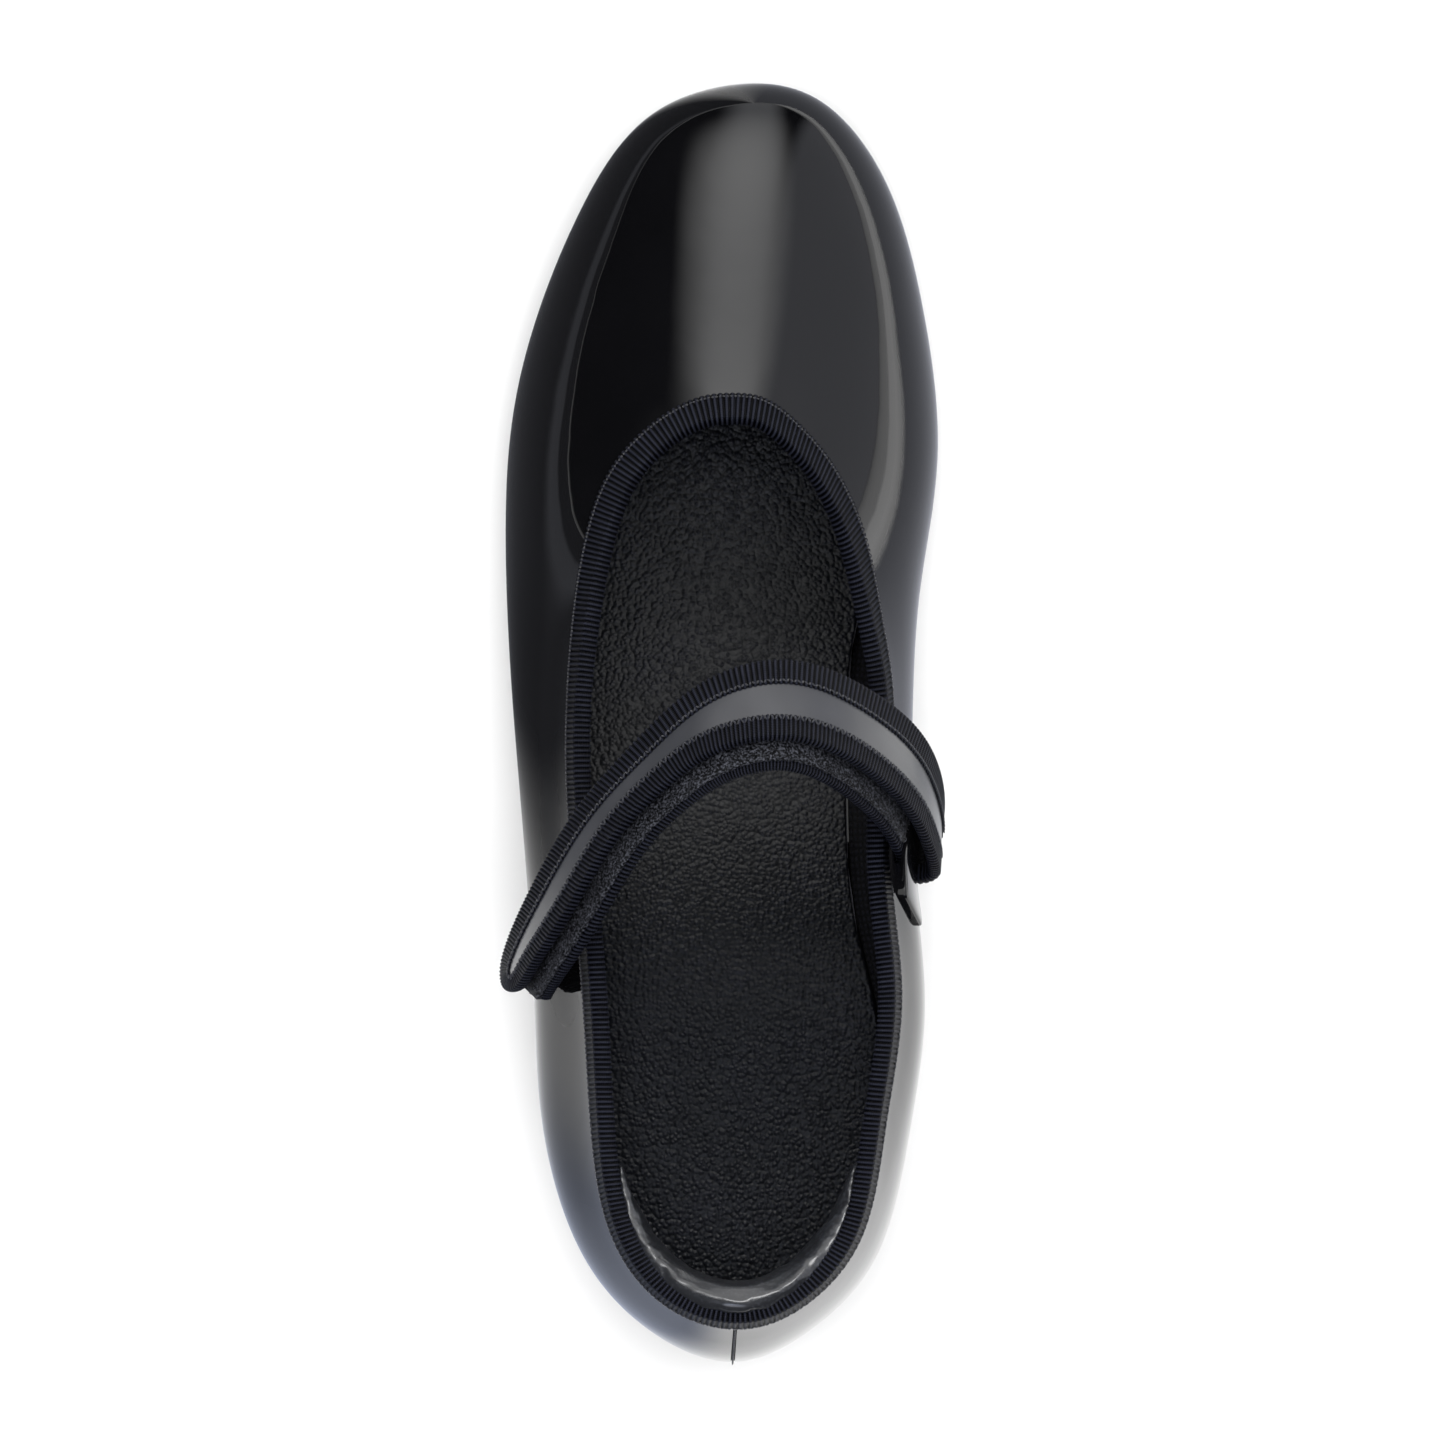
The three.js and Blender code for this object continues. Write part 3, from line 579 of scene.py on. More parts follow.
def grosgrain(look):
    """Woven rayon grosgrain: a heavy weft under fine warp gives matt ribs, painted light on their crests as
    painted highlight and nearly black between them as painted shade. The ribs are 1 mm apart, as on the tape
    itself."""
    made, tree, shader = surface("woven grosgrain", {"IOR": 1.45, "Specular IOR Level": 0.2})
    flat = add_node(tree, FLAT, BY_UV)
    warp = add_node(tree, WAVE, {"bands_direction": "Y"}, {"Vector": flat, "Scale": wave_scale(0.4)})
    crest = add_node(tree, WAVE, {"bands_direction": "X"}, {"Vector": flat, "Scale": wave_scale(RIB_PITCH)})
    blotch = add_node(tree, NOISE, inputs={"Vector": flat, "Scale": 1 / 4.0, "Detail": 2.0})
    fibre = add_node(tree, NOISE, inputs={"Vector": flat, "Scale": 1 / 0.25, "Detail": 2.0})
    threads = add_node(tree, RANGE, inputs={"Value": warp.outputs["Fac"], "To Min": 0.75, "To Max": 1.0})
    patches = add_node(tree, RANGE, inputs={"Value": blotch, "To Min": 0.6, "To Max": 1.2})
    lit = add_node(tree, MATH, TIMES, {0: crest.outputs["Fac"], 1: threads})
    lit = add_node(tree, MATH, TIMES, {0: lit, 1: patches})
    # Painted highlight on the rib crests and painted shade in the hollows between them, with random blotches of
    # tone.
    share = add_node(tree, RANGE, inputs={"Value": lit, "From Min": 0.25, "From Max": 0.9})
    colour = add_node(tree, MIX, IN_COLOUR, {"Factor": share, "A": look.tape_dark, "B": look.tape_light})
    rough = add_node(tree, RANGE, inputs={"Value": fibre, "To Min": 0.4, "To Max": 0.65})
    weave = add_node(tree, MATH, PLUS, {0: warp.outputs["Fac"], 1: fibre})
    normal = add_node(tree, BUMP, inputs={"Height": weave, "Distance": 0.06 * MM})
    plug(tree, shader, {"Base Color": colour, "Roughness": rough, "Normal": normal})
    return made


def knit_lining(look):
    """Warp-knitted polyester lining: rows of small eyelets in a soft cloth that stays dull at every angle, the
    eyelets painted dark as painted shade.
    The eyelets are drawn 1.3 by 0.9 mm apart, coarser than in real lining cloth, so that they can be seen."""
    made, tree, shader = surface("knitted polyester lining", {
        "IOR": 1.45, "Sheen Weight": 0.03, "Sheen Roughness": 0.5})
    flat = add_node(tree, FLAT, BY_UV)
    wales = add_node(tree, WAVE, {"bands_direction": "X"}, {"Vector": flat, "Scale": wave_scale(1.3)})
    courses = add_node(tree, WAVE, {"bands_direction": "Y"}, {"Vector": flat, "Scale": wave_scale(0.9)})
    eyelets = add_node(tree, MATH, TIMES, {0: wales.outputs["Fac"], 1: courses.outputs["Fac"]})
    fibre = add_node(tree, NOISE, inputs={"Vector": flat, "Scale": 1 / 0.3, "Detail": 3.0})
    # Painted shade in the eyelets: the cloth is coloured darker where it sinks into them.
    colour = add_node(tree, MIX, IN_COLOUR, {"Factor": eyelets, "A": look.lining_dark, "B": look.lining_light})
    rough = add_node(tree, RANGE, inputs={"Value": fibre, "To Min": 0.75, "To Max": 0.95})
    holes = add_node(tree, BUMP, inputs={"Height": eyelets, "Distance": 0.25 * MM})
    normal = add_node(tree, BUMP, inputs={"Height": fibre, "Distance": 0.05 * MM, "Normal": holes})
    plug(tree, shader, {"Base Color": colour, "Roughness": rough, "Normal": normal})
    return made


def grained(name, colours, cell_mm, depth_mm, rough, coat):
    """Leather or its imitation, pressed with a pebble grain: cells cell_mm across are painted lighter on their
    tops as painted highlight, and the soft creases between them painted dark as painted shade. Coat is how much
    clear finish lies over the grain."""
    made, tree, shader = surface(name, {"IOR": 1.48, "Coat Weight": coat, "Coat Roughness": 0.18})
    place = add_node(tree, COORDINATES).outputs["Object"]
    # The cells' edges wander by up to 0.4 mm, so no two pebbles look alike.
    wander = add_node(tree, NOISE, inputs={"Vector": place, "Scale": TO_METRES / 2.5}).outputs["Color"]
    moved = add_node(tree, "ShaderNodeVectorMath", {"operation": "MULTIPLY_ADD"},
                     {0: wander, 1: [0.4 * MM] * 3, 2: place})
    cells = add_node(tree, "ShaderNodeTexVoronoi", {"feature": "SMOOTH_F1"},
                     {"Vector": moved, "Scale": TO_METRES / cell_mm, "Smoothness": 0.4})
    pores = add_node(tree, NOISE, inputs={"Vector": place, "Scale": TO_METRES / 0.4, "Detail": 3.0})
    broad = add_node(tree, NOISE, inputs={"Vector": place, "Scale": TO_METRES / 18.0, "Detail": 3.0})
    # Painted shade in the creases and painted highlight on the cells' tops, with a broad random tone added.
    shade = add_node(tree, MATH, PLUS, {0: cells, 1: broad})
    share = add_node(tree, RANGE, inputs={"Value": shade, "From Min": 0.45, "From Max": 1.0})
    colour = add_node(tree, MIX, IN_COLOUR, {"Factor": share, "A": colours[1], "B": colours[0]})
    wear = add_node(tree, MATH, TIMES, {0: pores, 1: broad})
    gloss = add_node(tree, RANGE, inputs={"Value": wear, "To Min": rough[0], "To Max": rough[1]})
    tops = add_node(tree, MATH, MINUS, {0: 1.0, 1: cells})
    pebbles = add_node(tree, BUMP, inputs={"Height": tops, "Distance": depth_mm * MM})
    normal = add_node(tree, BUMP, inputs={"Height": pores, "Distance": depth_mm * 0.12 * MM, "Normal": pebbles})
    plug(tree, shader, {"Base Color": colour, "Roughness": gloss, "Normal": normal})
    return made


def fuzzy(name, colours, period_mm):
    """Nylon touch tape: a mass of thin shiny fibres that looks dull as a whole, with crowns painted bright as
    painted highlight over a ground painted dark as painted shade. The crowns are drawn coarser than single
    fibres, which are 0.1 mm or less."""
    made, tree, shader = surface(name, {"IOR": 1.5, "Specular IOR Level": 0.3})
    place = add_node(tree, COORDINATES).outputs["Object"]
    fibre = add_node(tree, NOISE, inputs={"Vector": place, "Scale": TO_METRES / period_mm, "Detail": 4.0})
    # Painted highlight on the fibre crowns and painted shade deep in the pile.
    share = add_node(tree, RANGE, inputs={"Value": fibre, "From Min": 0.45, "From Max": 0.75})
    colour = add_node(tree, MIX, IN_COLOUR, {"Factor": share, "A": colours[0], "B": colours[1]})
    rough = add_node(tree, RANGE, inputs={"Value": fibre, "To Min": 0.55, "To Max": 0.9})
    normal = add_node(tree, BUMP, inputs={"Height": fibre, "Distance": 0.15 * MM})
    plug(tree, shader, {"Base Color": colour, "Roughness": rough, "Normal": normal})
    return made


def speckled(name, colours, period_mm, depth_mm, rough):
    """A moulded, pressed or foamed stuff: one colour, broken by the speckle and pits of its grain."""
    made, tree, shader = surface(name, {"IOR": 1.5})
    place = add_node(tree, COORDINATES).outputs["Object"]
    grain = add_node(tree, NOISE, inputs={"Vector": place, "Scale": TO_METRES / period_mm, "Detail": 5.0})
    patches = TO_METRES / (14 * period_mm)
    broad = add_node(tree, NOISE, inputs={"Vector": place, "Scale": patches, "Detail": 3.0})
    both = add_node(tree, MATH, PLUS, {0: grain, 1: broad})
    mean = add_node(tree, MATH, TIMES, {0: both, 1: 0.5})
    share = add_node(tree, RANGE, inputs={"Value": mean, "From Min": 0.3, "From Max": 0.7})
    colour = add_node(tree, MIX, IN_COLOUR, {"Factor": share, "A": colours[0], "B": colours[1]})
    gloss = add_node(tree, RANGE, inputs={"Value": broad, "To Min": rough[0], "To Max": rough[1]})
    normal = add_node(tree, BUMP, inputs={"Height": grain, "Distance": depth_mm * MM})
    plug(tree, shader, {"Base Color": colour, "Roughness": gloss, "Normal": normal})
    return made


def worn_metal(name, colours, streak, rough):
    """Tumbled or turned metal: fine streaks along one axis stretch its highlights, and scuffs from the floor
    dull it in patches. Streak is the scale of the streaks along each axis."""
    made, tree, shader = surface(name, {"Metallic": 1.0})
    place = add_node(tree, COORDINATES).outputs["Object"]
    stretch = add_node(tree, "ShaderNodeMapping", inputs={"Vector": place, "Scale": streak})
    lines = add_node(tree, NOISE, inputs={"Vector": stretch, "Scale": TO_METRES / 0.6, "Detail": 4.0})
    scuffs = add_node(tree, NOISE, inputs={"Vector": place, "Scale": TO_METRES / 7.0, "Detail": 4.0})
    marks = add_node(tree, MATH, TIMES, {0: lines, 1: scuffs})
    share = add_node(tree, RANGE, inputs={"Value": marks, "From Min": 0.1, "From Max": 0.5})
    colour = add_node(tree, MIX, IN_COLOUR, {"Factor": share, "A": colours[0], "B": colours[1]})
    gloss = add_node(tree, RANGE, inputs={"Value": scuffs, "To Min": rough[0], "To Max": rough[1]})
    normal = add_node(tree, BUMP, inputs={"Height": lines, "Distance": 0.012 * MM})
    plug(tree, shader, {"Base Color": colour, "Roughness": gloss, "Normal": normal})
    return made


def twisted_thread(look):
    """Waxed polyester sewing thread with a satin sheen: its twisted plies are painted as light and dark flecks,
    painted highlight on the plies and painted shade between them.
    """
    made, tree, shader = surface("twisted polyester thread", {"IOR": 1.5, "Sheen Weight": 0.2})
    place = add_node(tree, COORDINATES).outputs["Object"]
    twist = add_node(tree, NOISE, inputs={"Vector": place, "Scale": TO_METRES / 0.3, "Detail": 2.0})
    # Painted highlight on the plies and painted shade between them, laid out as random flecks.
    colour = add_node(tree, MIX, IN_COLOUR, {"Factor": twist, "A": look.thread_dark, "B": look.thread_light})
    rough = add_node(tree, RANGE, inputs={"Value": twist, "To Min": 0.4, "To Max": 0.6})
    plug(tree, shader, {"Base Color": colour, "Roughness": rough})
    return made


FINISHES = {}


def chosen():
    """The sizes and colours that the panel shows."""
    return bpy.context.scene.tap_shoe


def make_finishes(look):
    """Every finish of the shoe by its short name."""
    def tones(dark, light):
        return linear(dark), linear(light)
    FINISHES.update(
        patent=patent_leather(look),
        film=satin_film(look),
        grosgrain=grosgrain(look),
        knit=knit_lining(look),
        thread=twisted_thread(look),
        # Plated under heat: round pebbles with deep soft creases and no gloss coat.
        sock=grained("pebbled sock leather", (look.sock_dark, look.sock_light), 0.85, 0.28, (0.34, 0.48), 0.0),
        # Coated from a roll: a shallow grain under a clear film, so it shines where it bulges. Both its colours
        # are painted a lighter grey as painted sheen, over the grain's painted crease shade.
        pad=grained("polyurethane-coated collar cloth", (look.pad_dark, look.pad_light), 0.7, 0.02, (0.28, 0.4),
                    1.0),
        # Woven and brushed: a deep ground painted dark as painted shade, with loop tops painted pale as painted
        # highlight.
        pile=fuzzy("nylon loop pile", (look.pile_dark, look.pile_light), 0.45),
        # Moulded stems: evener and darker than the pile, with the same painted highlight on their tops and
        # painted shade below.
        hooks=fuzzy("nylon hook tape", tones("#0b0b0d", "#1e1f24"), 0.3),
        # Pulp pressed in sheets: pale, matt and flecked.
        board=speckled("pressed cellulose board", tones("#6f5e47", "#a08c6c"), 0.5, 0.05, (0.8, 0.95)),
        # Cells cut open by the knife: pitted and quite without gloss.
        foam=speckled("cut latex foam", tones("#2d2d31", "#4a4a50"), 0.35, 0.12, (0.9, 1.0)),
        # Copied from a fine mould: an even satin face.
        plastic=speckled("injection-moulded thermoplastic", tones("#0d0d0f", "#17171a"), 0.4, 0.02,
                         (0.3, 0.42)),
        # Resin-filled cloth set by heat: stiff, cream and a little waxy.
        stiffener=speckled("heat-formed stiffener sheet", tones("#c9c2b0", "#e0dacb"), 0.6, 0.04, (0.5, 0.7)),
        # Cured against a sandblasted mould: black and matt.
        rubber=speckled("compression-moulded rubber", tones("#0c0c0c", "#1d1d1e"), 0.45, 0.06, (0.6, 0.85)),
        # Sanded open and wiped with stain: dark brown with worn lighter patches.
        sole=speckled("buffed and stained sole leather", (look.sole_dark, look.sole_light), 0.7, 0.05,
                      (0.45, 0.7)),
        # Cast, tumbled smooth, then scuffed lengthways by dancing.
        tap=worn_metal("die-cast and tumbled aluminium", (look.tap_dark, look.tap_light), (1.0, 0.06, 1.0),
                       (0.22, 0.45)),
        # Turned and bright-plated: fine rings and a cool shine.
        steel=worn_metal("zinc-plated steel", tones("#77797d", "#c9cbce"), (1.0, 1.0, 0.1), (0.25, 0.4)),
    )


# ---- Geometry Nodes: what repeats ----

def node_group(name, sockets):
    """An empty geometry tree with a geometry input, the named inputs and a geometry output."""
    tree = bpy.data.node_groups.new(name, "GeometryNodeTree")
    tree.interface.new_socket("Geometry", in_out="INPUT", socket_type="NodeSocketGeometry")
    for label, kind, value in sockets:
        socket = tree.interface.new_socket(label, in_out="INPUT", socket_type=kind)
        if value is not None:
            socket.default_value = value
    tree.interface.new_socket("Geometry", in_out="OUTPUT", socket_type="NodeSocketGeometry")
    return tree, add_node(tree, "NodeGroupInput").outputs


def close_tree(tree, geometry, material):
    """Turns instances into mesh, gives it its material and ends the tree."""
    real = add_node(tree, "GeometryNodeRealizeInstances", inputs={"Geometry": geometry})
    shown = add_node(tree, "GeometryNodeSetMaterial", inputs={"Geometry": real, "Material": material})
    add_node(tree, "NodeGroupOutput", inputs={"Geometry": shown})
    return tree


TURNED = {"rotation_space": "LOCAL"}


def stitch_tree():
    """Stitches laid end to end along a curve, each a stretched ball; a slant turns every second one the
    other way, as in a zigzag."""
    tree, given = node_group("stitch row", [
        ("Pitch", "NodeSocketFloat", 2.0 * MM),
        ("Share", "NodeSocketFloat", 0.72),
        ("Thread", "NodeSocketFloat", 0.2 * MM),
        ("Slant", "NodeSocketFloat", 0.0),
        ("Material", "NodeSocketMaterial", None),
    ])
    points = add_node(tree, "GeometryNodeCurveToPoints", {"mode": "LENGTH"},
                      {"Curve": given["Geometry"], "Length": given["Pitch"]})
    ball = add_node(tree, "GeometryNodeMeshUVSphere", inputs={"Segments": 6, "Rings": 5, "Radius": 1.0})
    long = add_node(tree, MATH, TIMES, {0: given["Pitch"], 1: given["Share"]})
    half = add_node(tree, MATH, TIMES, {0: long, 1: 0.5})
    size = add_node(tree, "ShaderNodeCombineXYZ", inputs={
        "X": given["Thread"], "Y": given["Thread"], "Z": half})
    index = add_node(tree, "GeometryNodeInputIndex")
    odd = add_node(tree, MATH, {"operation": "MODULO"}, {0: index, 1: 2.0})
    doubled = add_node(tree, MATH, TIMES, {0: odd, 1: 2.0})
    side = add_node(tree, MATH, MINUS, {0: doubled, 1: 1.0})
    lean = add_node(tree, MATH, TIMES, {0: side, 1: given["Slant"]})
    turn = add_node(tree, "ShaderNodeCombineXYZ", inputs={"X": lean})
    spin = add_node(tree, "FunctionNodeEulerToRotation", inputs={0: turn})
    facing = add_node(tree, "FunctionNodeRotateRotation", TURNED, {0: points.outputs["Rotation"], 1: spin})
    placed = add_node(tree, "GeometryNodeInstanceOnPoints", inputs={
        "Points": points.outputs["Points"], "Instance": ball, "Rotation": facing, "Scale": size})
    return close_tree(tree, placed, given["Material"])


def loop_tree():
    """Small upright fibre loops, scattered over a surface and leaning at random."""
    tree, given = node_group("fibre loops", [
        ("Density", "NodeSocketFloat", 1.5e6),
        ("Loop radius", "NodeSocketFloat", 0.45 * MM),
        ("Fibre", "NodeSocketFloat", 0.07 * MM),
        ("Lean", "NodeSocketFloat", 0.7),
        ("Seed", "NodeSocketInt", 4),
        ("Material", "NodeSocketMaterial", None),
    ])
    spread = add_node(tree, "GeometryNodeDistributePointsOnFaces", inputs={
        "Mesh": given["Geometry"], "Density": given["Density"], "Seed": given["Seed"]})
    ring = add_node(tree, "GeometryNodeCurvePrimitiveCircle", inputs={
        "Resolution": 7, "Radius": given["Loop radius"]})
    section = add_node(tree, "GeometryNodeCurvePrimitiveCircle", inputs={
        "Resolution": 3, "Radius": given["Fibre"]})
    loop = add_node(tree, "GeometryNodeCurveToMesh", inputs={"Curve": ring, "Profile Curve": section})
    upright = add_node(tree, "GeometryNodeTransform", inputs={
        "Geometry": loop, "Rotation": (math.pi / 2, 0, 0)})
    back = add_node(tree, MATH, TIMES, {0: given["Lean"], 1: -1.0})
    low = add_node(tree, "ShaderNodeCombineXYZ", inputs={"X": back, "Y": back, "Z": -math.pi})
    high = add_node(tree, "ShaderNodeCombineXYZ", inputs={"X": given["Lean"], "Y": given["Lean"], "Z": math.pi})
    chance = add_node(tree, "FunctionNodeRandomValue", {"data_type": "FLOAT_VECTOR"},
                      {"Min": low, "Max": high, "Seed": given["Seed"]})
    spin = add_node(tree, "FunctionNodeEulerToRotation", inputs={0: chance})
    facing = add_node(tree, "FunctionNodeRotateRotation", TURNED, {0: spread.outputs["Rotation"], 1: spin})
    placed = add_node(tree, "GeometryNodeInstanceOnPoints", inputs={
        "Points": spread.outputs["Points"], "Instance": upright, "Rotation": facing})
    return close_tree(tree, placed, given["Material"])


def rib_tree():
    """Ribs across a tape: the surface sinks between round ridges. The attribute "along" counts whole ribs."""
    tree, given = node_group("tape ribs", [
        ("Height", "NodeSocketFloat", 0.2 * MM),
        ("Material", "NodeSocketMaterial", None),
    ])
    along = add_node(tree, "GeometryNodeInputNamedAttribute", {"data_type": "FLOAT"}, {"Name": "along"})
    turns = add_node(tree, MATH, TIMES, {0: along, 1: math.pi})
    wave = add_node(tree, MATH, {"operation": "SINE"}, {0: turns})
    ridge = add_node(tree, MATH, {"operation": "ABSOLUTE"}, {0: wave})
    crest = add_node(tree, MATH, {"operation": "POWER"}, {0: ridge, 1: 0.75})
    height = add_node(tree, MATH, TIMES, {0: crest, 1: given["Height"]})
    sunk = add_node(tree, MATH, MINUS, {0: height, 1: given["Height"]})
    normal = add_node(tree, "GeometryNodeInputNormal")
    offset = add_node(tree, "ShaderNodeVectorMath", {"operation": "SCALE"}, {0: normal, "Scale": sunk})
    moved = add_node(tree, "GeometryNodeSetPosition", inputs={"Geometry": given["Geometry"], "Offset": offset})
    return close_tree(tree, moved, given["Material"])


def copies_tree():
    """One copy of a template object at each point, upright and turned about Z at random."""
    tree, given = node_group("fasteners", [
        ("Template", "NodeSocketObject", None),
        ("Turn", "NodeSocketFloat", 0.9),
        ("Seed", "NodeSocketInt", 3),
        ("Material", "NodeSocketMaterial", None),
    ])
    points = add_node(tree, "GeometryNodeMeshToPoints", inputs={"Mesh": given["Geometry"]})
    template = add_node(tree, "GeometryNodeObjectInfo", inputs={"Object": given["Template"]})
    chance = add_node(tree, "FunctionNodeRandomValue", {"data_type": "FLOAT"},
                      {"Min": 0.0, "Max": given["Turn"], "Seed": given["Seed"]})
    turn = add_node(tree, "ShaderNodeCombineXYZ", inputs={"Z": chance})
    spin = add_node(tree, "FunctionNodeEulerToRotation", inputs={0: turn})
    placed = add_node(tree, "GeometryNodeInstanceOnPoints", inputs={
        "Points": points, "Instance": template.outputs["Geometry"], "Rotation": spin})
    return close_tree(tree, placed, given["Material"])


TREES = {}


def make_trees():
    TREES.update(stitches=stitch_tree(), loops=loop_tree(), ribs=rib_tree(), copies=copies_tree())


def grown(obj, tree_name, **values):
    """obj run through one of the trees and turned into a plain mesh; values are set by the sockets' names."""
    name = obj.name
    tree = TREES[tree_name]
    modifier = obj.modifiers.new("grow", "NODES")
    modifier.node_group = tree
    for item in tree.interface.items_tree:
        key = item.name.replace(" ", "_")
        if item.in_out == "INPUT" and key in values:
            modifier[item.identifier] = values.pop(key)
    if values:
        raise ValueError(f"{tree_name} has no input {sorted(values)}")
    made = evaluated(obj, name + "_grown")
    made.name = name
    return made


def curve_through(name, points, cyclic=False):
    """A curve object through points in mm."""
    data = bpy.data.curves.new(name, "CURVE")
    data.dimensions = "3D"
    spline = data.splines.new("POLY")
    spline.points.add(len(points) - 1)
    spline.points.foreach_set("co", np.c_[points * MM, np.ones(len(points))].astype(np.float32).ravel())
    spline.use_cyclic_u = cyclic
    made = bpy.data.objects.new(name, data)
    bpy.context.scene.collection.objects.link(made)
    return made


def stitch_row(name, points, body, cyclic=False, pitch=2.2, share=0.72, radius=0.2, slant=0.0):
    row = curve_through(name, points, cyclic)
    made = grown(row, "stitches", Pitch=pitch * MM, Share=share, Thread=radius * MM, Slant=slant,
                 Material=FINISHES["thread"])
    made.data.polygons.foreach_set("use_smooth", [True] * len(made.data.polygons))
    return finish_piece(made, FINISHES["thread"], body)


ZIGZAG_IN = 0.75  # from the tape's edge to the middle of its zigzag stitching
ZIGZAG_SHARE = 1.6  # a stitch's length as a share of its pitch
ZIGZAG_SLANT = 1.1  # radians


def zigzag_row(name, points, body, cyclic=False):
    look = chosen()
    return stitch_row(name, points, body, cyclic, pitch=look.zigzag_pitch / MM, share=ZIGZAG_SHARE,
                      radius=look.zigzag_thread / MM, slant=ZIGZAG_SLANT)


# ---- The upper ----

def ordered(*parts):
    """Steps joined end to end without their shared ends."""
    return np.unique(np.concatenate([np.linspace(*part) for part in parts]).round(9))


BACK_SEAM = station(12)
SEAM_WIDTH = 0.0011
around_steps = ordered((0, BACK_SEAM - 0.01, 250), (BACK_SEAM - 0.01, BACK_SEAM + 0.01, 60),
                       (BACK_SEAM + 0.01, 1, 230))[:-1]


def seam_groove(s, v):
    """How deep the closed back seam lies below the skin."""
    share = np.exp(-((s - BACK_SEAM) / (SEAM_WIDTH / 2)) ** 2)
    return 0.55 * share * smooth(v, 0.1, 0.2)


def wall(s_steps, v_steps, depth):
    s, v = np.meshgrid(s_steps, v_steps, indexing="ij")
    return skin_at(s, v, depth(s, v))


def make_upper():
    v_steps = ordered((-1, 0, 7), (0, RIM, 14), (RIM, 1, 44))
    outer = wall(around_steps, v_steps, seam_groove)
    inner = wall(around_steps, v_steps, lambda s, v: np.full_like(s, UPPER))
    made = solid_between("patent_upper", outer, inner, ring=True)
    return finish_piece(made, FINISHES["patent"], "shoe", ["upper"])


def lining_outer(s, v):
    return UPPER + GAP + (STIFFENER + GAP) * stiffened(s, v)


LINING_TURN = -0.33  # how far the lining turns in beside the insole board


def make_lining():
    s_steps = np.linspace(0, 1, 360, endpoint=False)
    v_steps = ordered((LINING_TURN, 0, 8), (0, 1, 46))
    outer = wall(s_steps, v_steps, lining_outer)
    inner = wall(s_steps, v_steps, lambda s, v: lining_outer(s, v) + LINING)
    made = solid_between("quarter_and_vamp_lining", inner, outer, ring=True)
    return finish_piece(made, FINISHES["knit"], "shoe", ["quarter_lining"])


FOLD_BULGE = 0.85  # how far a tape's fold stands out past the edge it covers
FOLD_HOLLOW = 0.25  # and how far its inner face does
CLEAR = 0.02  # gap that keeps two faces which lie on each other apart
RIB_PITCH = 1.0
RIB_STEPS = 6  # rows of points to each rib


def tape_section(leg, back_leg, top, bottom):
    """Tape folded over an edge: rows of (distance in from the edge, depth), outer face then inner face."""
    middle, half = (top + bottom) / 2, (bottom - top) / 2
    outer, inner = half + TAPE, half + CLEAR
    turn = np.linspace(0, math.pi, 11)[1:-1]
    face = [(d, top - TAPE) for d in np.linspace(leg, 0, 8)]
    fold = [(-FOLD_BULGE * math.sin(a), middle - outer * math.cos(a)) for a in turn]
    back = [(d, bottom + TAPE) for d in np.linspace(0, back_leg, 5)]
    under_back = [(d, bottom + CLEAR) for d in np.linspace(back_leg, 0, 3)]
    under_fold = [(-FOLD_HOLLOW * math.sin(a), middle + inner * math.cos(a)) for a in turn[::2]]
    under = [(d, top - CLEAR) for d in np.linspace(0, leg, 3)]
    return np.array(face + fold + back + under_back + under_fold + under)


def rib_tape(name, place, travel, section, ring):
    """Ribbed tape along a path: place(distance, depth) gives the points of all its rows."""
    rows = place(section[:, 0][None, :], section[:, 1][None, :])
    ribs = travel * round(travel[-1] / RIB_PITCH) / travel[-1]
    made = swept(name, rows, ring, ribs)
    along = made.data.attributes.new("along", "FLOAT", "POINT")
    along.data.foreach_set("value", np.repeat(ribs[:len(rows)], len(section)).astype(np.float32))
    return grown(made, "ribs", Height=chosen().rib_height, Material=FINISHES["grosgrain"])


def topline_frame(s):
    """A tape frame along the topline: distance down the skin from its edge, and depth under the skin."""
    edge = skin(s, 1)
    per_unit = np.linalg.norm(edge - skin(s, 0.95), axis=-1) / 0.05
    rise = unit(edge - skin(s, 0.98))

    def place(distance, depth):
        distance, depth, s_all = np.broadcast_arrays(distance, depth, s[:, None])
        v = 1 - np.clip(distance, 0, None) / per_unit[:, None]
        points = skin_at(s_all, v, depth)
        return points + rise[:, None, :] * np.clip(-distance, 0, None)[..., None]
    return place


def even_rows(curve, spacing, closed=False):
    """Parameters of a curve at even distances, and the distances."""
    fine = np.linspace(0, 1, 4001)
    travel = np.concatenate([[0], np.cumsum(np.linalg.norm(np.diff(curve(fine), axis=0), axis=1))])
    count = int(round(travel[-1] / spacing))
    at = np.linspace(0, travel[-1], count + 1)
    params = np.interp(at, travel, fine)
    return (params[:-1] if closed else params), at


def make_topline_binding():
    s, travel = even_rows(lambda s: skin(s, 1.0), RIB_PITCH / RIB_STEPS, closed=True)
    section = tape_section(BINDING_LEG, BINDING_BACK_LEG, 0.0, UPPER + GAP + LINING + 0.25)
    tape = rib_tape("topline_tape", topline_frame(s), travel, section, True)
    finish_piece(tape, FINISHES["grosgrain"], "shoe", ["topline_binding"])
    row = topline_frame(s[::4])(np.array([[BINDING_LEG - ZIGZAG_IN]]), np.array([[-TAPE - CLEAR]]))[:, 0]
    zigzag_row("topline_stitches", row, "shoe", cyclic=True)


def make_back_seam():
    v = np.linspace(0.3, 0.985, 60)
    seam = skin_at(np.full_like(v, BACK_SEAM), v, np.zeros_like(v))
    stitch_row("back_seam_stitches", seam, "shoe", pitch=0.9, share=1.7, radius=0.2, slant=1.15)


